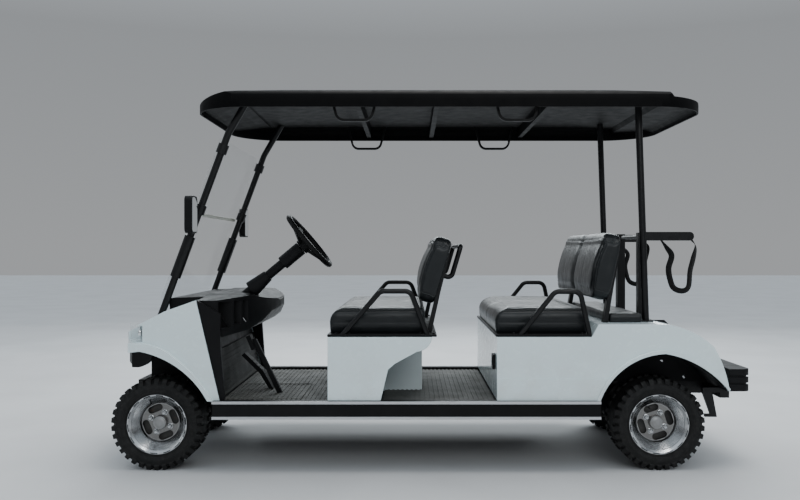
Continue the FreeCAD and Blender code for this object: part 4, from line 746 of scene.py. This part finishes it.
def upholster_back(node, seed):
    """A seat back: two lobes with sewn channels and a valley between them, a piped edge and a flat rear."""
    behind, up = back_directions(node)
    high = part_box(node)[1]
    reach = [vertex.co.dot(behind) for vertex in NODES[node].data.vertices]
    rise = [vertex.co.dot(up) for vertex in NODES[node].data.vertices]
    rear = max(reach)
    middle = (min(rise) + max(rise)) / 2
    piece = skin_of(node, voxel=9 * MM, inset=SEAT_INSET, towards=behind,
                    held=lambda places: places @ np.array(behind) > rear - 12 * MM, cap=SEAT_CAP)
    mesh = piece.data
    edge = high.y - 10 * MM
    channel = high.y / 2

    def facing(places, normals):
        return faded(normals @ np.array(up * 0.6 - behind) - 0.1, 0.4)

    def wrapped(places, normals):
        return faded(rear - 20 * MM - places @ np.array(behind), 15 * MM)

    press(mesh, lambda places: np.abs(places[:, 1]) - edge, depth=2.5 * MM, width=7 * MM, where=wrapped)
    press(mesh, lambda places: places[:, 1], depth=15 * MM, width=38 * MM, where=facing)
    press(mesh, lambda places: places[:, 1], depth=6 * MM, width=7 * MM, where=facing)
    press(mesh, lambda places: np.abs(places[:, 1]) - high.y, depth=8 * MM, width=45 * MM, where=facing)
    press(mesh, lambda places: np.abs(places[:, 1]) - channel, depth=1.5 * MM, width=14 * MM, where=facing)
    wrinkle(mesh, scale=8, depth=2.2 * MM, seed=seed)
    for name, side in SIDES:
        centre = behind * (rear - 55 * MM) + up * middle + Vector((0, side * edge, 0))
        points = ring_on(mesh, centre, -behind, up, BACK_TURNS)
        cord_along(node + "_piping_" + name, points, PIPING, PIPING_HIGHLIGHT_VINYL)
    seat_piece(piece, node)


def upholster_deck_pad():
    """The thin flat pad on the deck behind the rear seat."""
    node = "deck_pad"
    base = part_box(node)[0].z + 10 * MM
    piece = skin_of(node, voxel=9 * MM, inset=3 * MM, towards=(0, 0, -1),
                    held=lambda places: places[:, 2] < base, cap=6 * MM)
    crumple(piece.data, scale=9, depth=1.6 * MM, seed=21)
    seat_piece(piece, node)


def upholster():
    """Cover both cushions, both backs and the deck pad; the numbers pick each one's own creases."""
    upholster_cushion("front_cushion", 1)
    upholster_cushion("rear_cushion", 5)
    upholster_back("front_backrest", 9)
    upholster_back("rear_backrest", 13)
    upholster_deck_pad()


def mesh_piece(name, build, material, body="chassis", slot=None, smooth=True, edge=0.0):
    """A piece whose mesh a function builds, its edges softened when an edge width is given."""
    mesh = bpy.data.meshes.new(name)
    work = bmesh.new()
    build(work)
    bmesh.ops.remove_doubles(work, verts=work.verts, dist=WELD_REACH)
    bmesh.ops.recalc_face_normals(work, faces=work.faces)
    work.to_mesh(mesh)
    work.free()
    piece = add_piece(name, mesh, material, body)
    if smooth:
        mesh.shade_smooth()
    if edge:
        soften(piece, edge)
    return piece


def slab_into(work, corners, offset):
    """A closed slab: a flat outline and the same outline moved by an offset."""
    near = [work.verts.new(corner) for corner in corners]
    far = [work.verts.new(Vector(corner) + offset) for corner in corners]
    work.faces.new(near)
    work.faces.new(far)
    for number in range(len(corners)):
        after = (number + 1) % len(corners)
        work.faces.new((near[number], near[after], far[after], far[number]))


def lathe_into(work, profile, centre, axis, steps=40):
    """Turn a profile of along and radius, in metres, about an axis."""
    axis = Vector(axis).normalized()
    first = axis.orthogonal().normalized()
    second = axis.cross(first)
    rings = []
    for along, radius in profile:
        ring = []
        for step in range(steps):
            turn = 2 * math.pi * step / steps
            out = first * math.cos(turn) + second * math.sin(turn)
            ring.append(work.verts.new(Vector(centre) + axis * along + out * radius))
        rings.append(ring)
    for before, after in zip(rings, rings[1:]):
        for step in range(steps):
            following = (step + 1) % steps
            work.faces.new((before[step], before[following], after[following], after[step]))
    if profile[0] != profile[-1]:
        work.faces.new(rings[0])
        work.faces.new(rings[-1])


def in_metres(profile):
    """A profile given in millimetres."""
    return [(along * MM, radius * MM) for along, radius in profile]


def slab_piece(name, corners, offset, material, **settings):
    """A flat piece with straight edges."""
    return mesh_piece(name, lambda work: slab_into(work, corners, offset), material, smooth=False, **settings)


def turned_piece(name, profile, centre, axis, material, steps=40, **settings):
    """A round piece turned from a profile in millimetres."""
    return mesh_piece(name, lambda work: lathe_into(work, in_metres(profile), centre, axis, steps), material,
                      **settings)


def surface_at(node, start, ray):
    """The first point of a node met by a ray."""
    if node not in TREES:
        TREES[node] = tree_of(NODES[node].data)
    return TREES[node].ray_cast(start, ray)[0]


# How far off a node a ray starts, in metres
PROBE = 0.2

# Turned profiles in millimetres: the distance along the axis and the radius
NUT_FLANGE = [(0.2, 15), (2.4, 15), (3.2, 13)]
NUT_HEX = [(3.2, 11.6), (14.5, 11.6), (17, 10.8)]
NUT_DOME = [(17, 9.2), (20, 7), (21, 3)]
CENTRE_CAP = [(22.2, 31), (23.2, 30.5), (23.4, 27), (22.6, 26), (22.6, 24.5), (23.6, 23.5), (24.6, 12),
              (24.8, 2)]
DRUM = [(0, 33), (0, 96), (-4, 104), (-26, 108), (-30, 102), (-30, 33), (0, 33)]
LAMP_BOWL = [(0, 6), (3, 14), (9, 22), (18, 29), (26, 32), (26.8, 34), (25, 34.5), (8, 26), (0, 12)]
LAMP_BULB = [(0, 4), (8, 5), (14, 7), (20, 6), (24, 2)]
LINER_BOLT = [(0, 9), (1.5, 9), (2.2, 8), (3.2, 5), (3.6, 1.5)]
FOOT_WASHER = [(0, 8), (1.2, 8), (1.6, 7.4)]
FOOT_HEX = [(1.6, 6), (6, 6), (7, 5)]

# Wheels, with turns in degrees
NUT_COUNT = 4
NUT_CIRCLE = 50.8 * MM
NUT_TURNS = {"front": 67, "rear": 62.5}
DISC_DEPTH = 65 * MM
# Dark dashes round each rim's lip: painted shade standing in for the rim's slots
LIP_SLOT_SHADES = 14
DASH_POINTS = 7
DASH_STEP = 2.4
DASH_INNER = 6.4 * MM
DASH_OUTER = 2.2 * MM
DASH_PROUD = 0.1 * MM
DASH_THICKNESS = 0.6 * MM
DRUM_BEHIND = 20 * MM
VALVE_AHEAD = 14 * MM
VALVE_CIRCLE = 84 * MM
VALVE_TURN = 118
VALVE_LENGTH = 26 * MM
VALVE_RADIUS = 3.4 * MM

# The tyre wall's rings. Columns: distance outside the lip, half width and lift, in millimetres
WALL_RINGS = [(8, 2.5, 0.9), (26, 1.5, 0.5)]
RING_CROWN = 0.6
WALL_REACH = 31 * MM
WALL_SLOPE = 0.32
RING_ROOT = 1


def dress_wheel(where):
    """Drum, hex nuts, centre cap, dark dashes round the lip as painted shade for the rim's slots, a valve and
    rings on the tyre's wall.
    """
    low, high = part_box("rim_" + where)
    tyre_low, tyre_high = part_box("tyre_" + where)
    centre = (tyre_low + tyre_high) / 2
    side = -1 if centre.y < 0 else 1
    axis = Vector((0, side, 0))
    body = "wheel_" + where
    face = high.y if side > 0 else -low.y
    wall = tyre_high.y if side > 0 else -tyre_low.y
    lip = (high.z - low.z) / 2
    disc = face - DISC_DEPTH

    def at(along, radius, turn):
        angle = math.radians(turn)
        across = radius * math.cos(angle)
        return Vector((centre.x + across, side * along, centre.z + radius * math.sin(angle)))

    def nuts(work):
        start = NUT_TURNS[where.split("_")[0]]
        for number in range(NUT_COUNT):
            place = at(disc, NUT_CIRCLE, start + 360 / NUT_COUNT * number)
            for profile, steps in ((NUT_FLANGE, 24), (NUT_HEX, 6), (NUT_DOME, 16)):
                lathe_into(work, in_metres(profile), place, axis, steps)

    # painted shade: black slabs on the lip where the rim's slots are
    def dashes(work):
        for number in range(LIP_SLOT_SHADES):
            start = number * 360 / LIP_SLOT_SHADES
            turns = [start + step * DASH_STEP for step in range(DASH_POINTS)]
            corners = [at(face + DASH_PROUD, lip - DASH_INNER, turn) for turn in turns]
            corners += [at(face + DASH_PROUD, lip - DASH_OUTER, turn) for turn in reversed(turns)]
            slab_into(work, corners, axis * DASH_THICKNESS)

    def rings(work):
        for outside, width, lift in WALL_RINGS:
            radius = lip + outside * MM
            base = wall - (lip + WALL_REACH - radius) * WALL_SLOPE - RING_ROOT * MM
            top = base + (lift + RING_ROOT) * MM
            crown = width * RING_CROWN * MM
            profile = [(base, radius - width * MM), (top, radius - crown), (top, radius + crown),
                       (base, radius + width * MM), (base, radius - width * MM)]
            profile = [(along - side * centre.y, size) for along, size in profile]
            lathe_into(work, profile, centre, axis, steps=72)

    back = at(disc - DRUM_BEHIND, 0, 0)
    turned_piece("drum_" + where, DRUM, back, axis, AXLE, steps=48, body=body, edge=1 * MM)
    mesh_piece("nuts_" + where, nuts, NUT_STEEL, body, smooth=False, edge=0.6 * MM)
    turned_piece("cap_" + where, CENTRE_CAP, at(disc, 0, 0), axis, CAP_GREY, body=body)
    mesh_piece("lip_slot_shades_" + where, dashes, PLASTIC, body, smooth=False)
    mesh_piece("wall_rings_" + where, rings, TYRE, body)
    valve = at(disc + VALVE_AHEAD, VALVE_CIRCLE, VALVE_TURN)
    cord_along("valve_" + where, [valve, valve + axis * VALVE_LENGTH], VALVE_RADIUS, GRIP, body=body)


# Headlights, measured from the back and the outer side of the clear block
BOWL_BACK = 3 * MM
BOWL_IN = 62 * MM
SOCKET_BACK = 0.8 * MM
SOCKET_INNER = 145 * MM
SOCKET_OUTER = 3 * MM
SOCKET_GAP = 1 * MM
SOCKET_THICKNESS = 1.5 * MM


def dress_lamps():
    """A dark socket, a bright bowl and a bulb inside each clear headlight."""
    low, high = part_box("headlights")
    ahead = (-1, 0, 0)
    back = high.x - SOCKET_BACK
    foot = low.z + SOCKET_GAP
    head = high.z - SOCKET_GAP
    for name, side in SIDES:
        inner = side * (high.y - SOCKET_INNER)
        outer = side * (high.y - SOCKET_OUTER)
        outline = [(back, inner, foot), (back, outer, foot), (back, outer, head), (back, inner, head)]
        middle = Vector((high.x - BOWL_BACK, side * (high.y - BOWL_IN), (low.z + high.z) / 2))
        slab_piece("lamp_socket_" + name, outline, Vector((-SOCKET_THICKNESS, 0, 0)), PLASTIC)
        turned_piece("lamp_bowl_" + name, LAMP_BOWL, middle, ahead, REFLECTOR, slot="lamp_clear")
        turned_piece("lamp_bulb_" + name, LAMP_BULB, middle, ahead, BULB, steps=20, slot="lamp_clear")


# Mirror glasses, with their corners cut
MIRROR_FACE_DEPTH = 3 * MM
MIRROR_BORDER = 7 * MM
MIRROR_CUT = 10 * MM
MIRROR_PROUD = 0.15 * MM
MIRROR_THICKNESS = 0.6 * MM


def dress_mirrors():
    """A bright glass with cut corners on each mirror's rear face."""
    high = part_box("mirrors")[1]
    rear = [vertex.co for vertex in NODES["mirrors"].data.vertices
            if vertex.co.x > high.x - MIRROR_FACE_DEPTH]
    cut = MIRROR_CUT
    for name, side in SIDES:
        mine = [place for place in rear if place.y * side > 0]
        inner = min(abs(place.y) for place in mine) + MIRROR_BORDER
        outer = max(abs(place.y) for place in mine) - MIRROR_BORDER
        foot = min(place.z for place in mine) + MIRROR_BORDER
        head = max(place.z for place in mine) - MIRROR_BORDER
        outline = [(inner + cut, foot), (outer - cut, foot), (outer, foot + cut), (outer, head - cut),
                   (outer - cut, head), (inner + cut, head), (inner, head - cut), (inner, foot + cut)]
        corners = [(high.x + MIRROR_PROUD, side * y, z) for y, z in outline]
        slab_piece("mirror_glass_" + name, corners, Vector((MIRROR_THICKNESS, 0, 0)), MIRROR, slot="alloy")


# The dash's compartments, in millimetres. Columns: outer and inner side from the end wall, foot, head
CUBBIES = [(0, 58, 690, 815), (67, 104, 704, 818), (113, 142, 716, 820)]
BRIGHT_CUBBY = 2
DASH_WALL = 9
TRIM_MARGIN = 4
TRIM_DROP = 8
TRIM_RADIUS = 2.2 * MM


def dress_dash():
    """A trim line round each open compartment of the dash, bright round the innermost ones."""
    low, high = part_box("dash")
    end = low.y + DASH_WALL * MM
    for number, (outer, inner, foot, head) in enumerate(CUBBIES):
        material = BRIGHT_TRIM if number == BRIGHT_CUBBY else PLASTIC
        y0 = end + outer * MM - TRIM_MARGIN * MM
        y1 = end + inner * MM + TRIM_MARGIN * MM
        z0 = (foot - TRIM_MARGIN) * MM
        z1 = (head - TRIM_DROP) * MM
        for name, side in (("left", 1), ("right", -1)):
            points = []
            for y, z in ((y0, z0), (y1, z0), (y1, z1), (y0, z1)):
                hit = surface_at("dash", Vector((high.x + PROBE, side * y, z)), Vector((-1, 0, 0)))
                if hit is not None:
                    points.append(hit)
            if len(points) == 4:
                cord_along("cubby_trim_%d_%s" % (number, name), points, TRIM_RADIUS, material, closed=True)


# The windshield's seal, at the height of the fold; heights count ten times in finding the pane's front edge
FOLD_Z = 1.247
HEIGHT_WEIGHT = 10
SEAL_MARGIN = 4 * MM
SEAL_HALF_WIDTH = 9 * MM
SEAL_PROUD = 0.4 * MM
SEAL_THICKNESS = 3 * MM


def dress_windshield():
    """The pale seal where the windshield folds."""
    low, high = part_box("windshield")
    places = [vertex.co for vertex in NODES["windshield"].data.vertices]
    upper, lower = (min(places, key=lambda place: place.x + HEIGHT_WEIGHT * abs(place.z - level))
                    for level in (high.z, low.z))
    share = (FOLD_Z - lower.z) / (upper.z - lower.z)
    x = lower.x + (upper.x - lower.x) * share
    slope = Vector((upper.x - lower.x, 0, upper.z - lower.z)).normalized()
    out = Vector((-slope.z, 0, slope.x))
    half = slope * SEAL_HALF_WIDTH
    near = Vector((x, low.y + SEAL_MARGIN, FOLD_Z)) + out * SEAL_PROUD
    far = near + Vector((0, high.y - low.y - 2 * SEAL_MARGIN, 0))
    corners = [near - half, near + half, far + half, far - half]
    slab_piece("windshield_seal", corners, out * SEAL_THICKNESS, SEAL, edge=0.8 * MM)


# Bolts on each rear wheel liner: X and Z in metres
LINER_BOLTS = [(1.203, 0.506), (1.315, 0.424)]
BESIDE = 1.0


def bolt_liners():
    """Two round-headed bolts on the outer side of each rear wheel liner."""
    for name, side in SIDES:
        for number, (x, z) in enumerate(LINER_BOLTS):
            hit = surface_at("wheel_liners", Vector((x, side * BESIDE, z)), Vector((0, -side, 0)))
            if hit is not None:
                turned_piece("liner_bolt_%s_%d" % (name, number), LINER_BOLT, hit, (0, side, 0), NUT_STEEL,
                             steps=20)


# A strap's route: X from the rack's rear end and Z from the straps' top, in metres
STRAP_LOOP = [(-0.161, 0.004), (-0.13, -0.037), (-0.107, -0.076), (-0.122, -0.137), (-0.115, -0.191),
              (-0.096, -0.236), (-0.053, -0.251), (-0.023, -0.229), (-0.015, -0.152), (0.0, -0.091),
              (0.012, -0.03), (-0.008, 0.004)]
STRAP_WIDTH = 28 * MM
STRAP_INSET = 19 * MM
STRAP_THICKNESS = 2 * MM
STRAP_STEPS = 8
STRAP_TURN = 74
TURN_SHARE = 0.2


def smooth_path(points, steps):
    """A Catmull-Rom line through the points, ends kept."""
    ends = [points[0] * 2 - points[1]] + list(points) + [points[-1] * 2 - points[-2]]
    path = []
    for a, b, c, d in zip(ends, ends[1:], ends[2:], ends[3:]):
        for step in range(steps):
            t = step / steps
            path.append(0.5 * ((b * 2) + (c - a) * t + (a * 2 - b * 5 + c * 4 - d) * t * t
                               + (b * 3 - a - c * 3 + d) * t ** 3))
    return path + [points[-1]]


def ribbon_mesh(name, path, side):
    """A strip along a path, flat at both ends and turned to face sideways in between."""
    count = len(path) - 1
    places = []
    for number, place in enumerate(path):
        share = number / count
        turned = min(1, share / TURN_SHARE, (1 - share) / TURN_SHARE)
        angle = math.radians(STRAP_TURN) * turned * turned * (3 - 2 * turned)
        along = (path[min(number + 1, count)] - path[max(number - 1, 0)]).normalized()
        flat = Vector((-along.z, 0, along.x))
        across = Vector((0, side * math.cos(angle), 0)) + flat * math.sin(angle)
        places += [place - across * STRAP_WIDTH / 2, place, place + across * STRAP_WIDTH / 2]
    faces = []
    for number in range(count):
        base = 3 * number
        faces += [(base + n, base + n + 1, base + n + 4, base + n + 3) for n in (0, 1)]
    mesh = bpy.data.meshes.new(name)
    mesh.from_pydata(places, [], faces)
    mesh.shade_smooth()
    return mesh


def hang_straps():
    """Webbing loops under the rack's arms, flat on the arm and turned to the side as they hang."""
    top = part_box("bag_straps")[1]
    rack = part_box("bag_rack")[1]
    for name, side in SIDES:
        y = side * (top.y - STRAP_INSET)
        path = smooth_path([Vector((rack.x + dx, y, top.z + dz)) for dx, dz in STRAP_LOOP], STRAP_STEPS)
        piece = add_piece("strap_" + name, ribbon_mesh("strap_" + name, path, side), WEB)
        thick = piece.modifiers.new("thick", "SOLIDIFY")
        thick.thickness = STRAP_THICKNESS
        thick.offset = 0
        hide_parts("bag_straps")


# The accelerator's ribs, in metres: the first one's place from the pedals' rear foot and the step to the next
RIB_COUNT = 7
RIB_START = (0.02, 0.10)
RIB_STEP = (0.014, 0.02)
RIB_LEAST_Z = 0.03
RIB_REACH = 26 * MM
RIB_RADIUS = 2.2 * MM
PLATE_HALF = 31 * MM


def rib_accelerator():
    """Round ribs across the accelerator's plate."""
    low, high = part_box("pedals")
    for number in range(RIB_COUNT):
        x = high.x - RIB_START[0] - number * RIB_STEP[0]
        z = low.z + RIB_START[1] + number * RIB_STEP[1]
        start = Vector((x + PROBE, high.y - PLATE_HALF, z + PROBE))
        hit = surface_at("pedals", start, Vector((-1, 0, -1)))
        if hit is not None and hit.z > low.z + RIB_LEAST_Z:
            reach = Vector((0, RIB_REACH, 0))
            cord_along("pedal_rib_%d" % number, [hit - reach, hit + reach], RIB_RADIUS, GRIP)


# The mat's border, in metres out from the box round the pedals
BORDER_AHEAD = 0.01
BORDER_BEHIND = 0.12
BORDER_LEFT = 0.16
BORDER_RIGHT = 0.1
BORDER_RADIUS = 4.5 * MM
MAT_LEVEL = 9 * MM


def border_mat():
    """A raised border on the driver's mat, round the pedals."""
    low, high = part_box("pedals")
    mat_low, mat_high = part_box("floor_mats")
    front = low.x - BORDER_AHEAD
    rear = high.x + BORDER_BEHIND
    left = low.y - BORDER_LEFT
    right = high.y + BORDER_RIGHT
    corners = []
    for x, y in ((front, left), (front, right), (rear, right), (rear, left)):
        hit = surface_at("floor_mats", Vector((x, y, mat_high.z + PROBE)), Vector((0, 0, -1)))
        if hit is not None:
            corners.append(Vector((x, y, max(hit.z, mat_low.z + MAT_LEVEL))))
    level = min(corner.z for corner in corners)
    border = [Vector((corner.x, corner.y, level)) for corner in corners]
    cord_along("mat_border", border, BORDER_RADIUS, RUBBER, closed=True)


# Bolts at the armrests' feet
FOOT_HEIGHT = 1 * MM
FOOT_SPAN = 0.06
FOOT_IN = 13 * MM
BOLT_OFF = 0.032
BASE_EDGE = 0.012


def armrest_feet():
    """Where the armrests' feet stand, along X: their lowest vertices, near ones gathered into one foot."""
    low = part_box("armrests")[0]
    lowest = sorted({round(vertex.co.x, 2) for vertex in NODES["armrests"].data.vertices
                     if vertex.co.z < low.z + FOOT_HEIGHT})
    groups = []
    for x in lowest:
        if groups and x - groups[-1][-1] < FOOT_SPAN:
            groups[-1].append(x)
        else:
            groups.append([x])
    return [sum(group) / len(group) for group in groups]


def bolts_piece(name, spots):
    """A washer and a hex head at each spot."""
    def build(work):
        for spot in spots:
            lathe_into(work, in_metres(FOOT_WASHER), spot, (0, 0, 1), steps=20)
            lathe_into(work, in_metres(FOOT_HEX), spot, (0, 0, 1), steps=6)

    mesh_piece(name, build, COAT, smooth=False)


def bolt_armrests():
    """Bolts beside the armrests' feet, where the seat base reaches under them."""
    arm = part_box("armrests")[1]
    low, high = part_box("seat_bases")
    for number, middle in enumerate(armrest_feet()):
        for name, side in SIDES:
            y = side * (arm.y - FOOT_IN)
            spots = [Vector((middle + dx, y, high.z)) for dx in (-BOLT_OFF, BOLT_OFF)
                     if low.x + BASE_EDGE < middle + dx < high.x - BASE_EDGE]
            if spots:
                bolts_piece("arm_bolts_%d_%s" % (number, name), spots)


set_camera()
set_studio()
finish_nodes()
soften_nodes()
upholster()
for wheel in WHEELS:
    dress_wheel(wheel)
dress_lamps()
dress_mirrors()
dress_dash()
dress_windshield()
bolt_liners()
hang_straps()
rib_accelerator()
border_mat()
bolt_armrests()

bpy.context.view_layer.update()
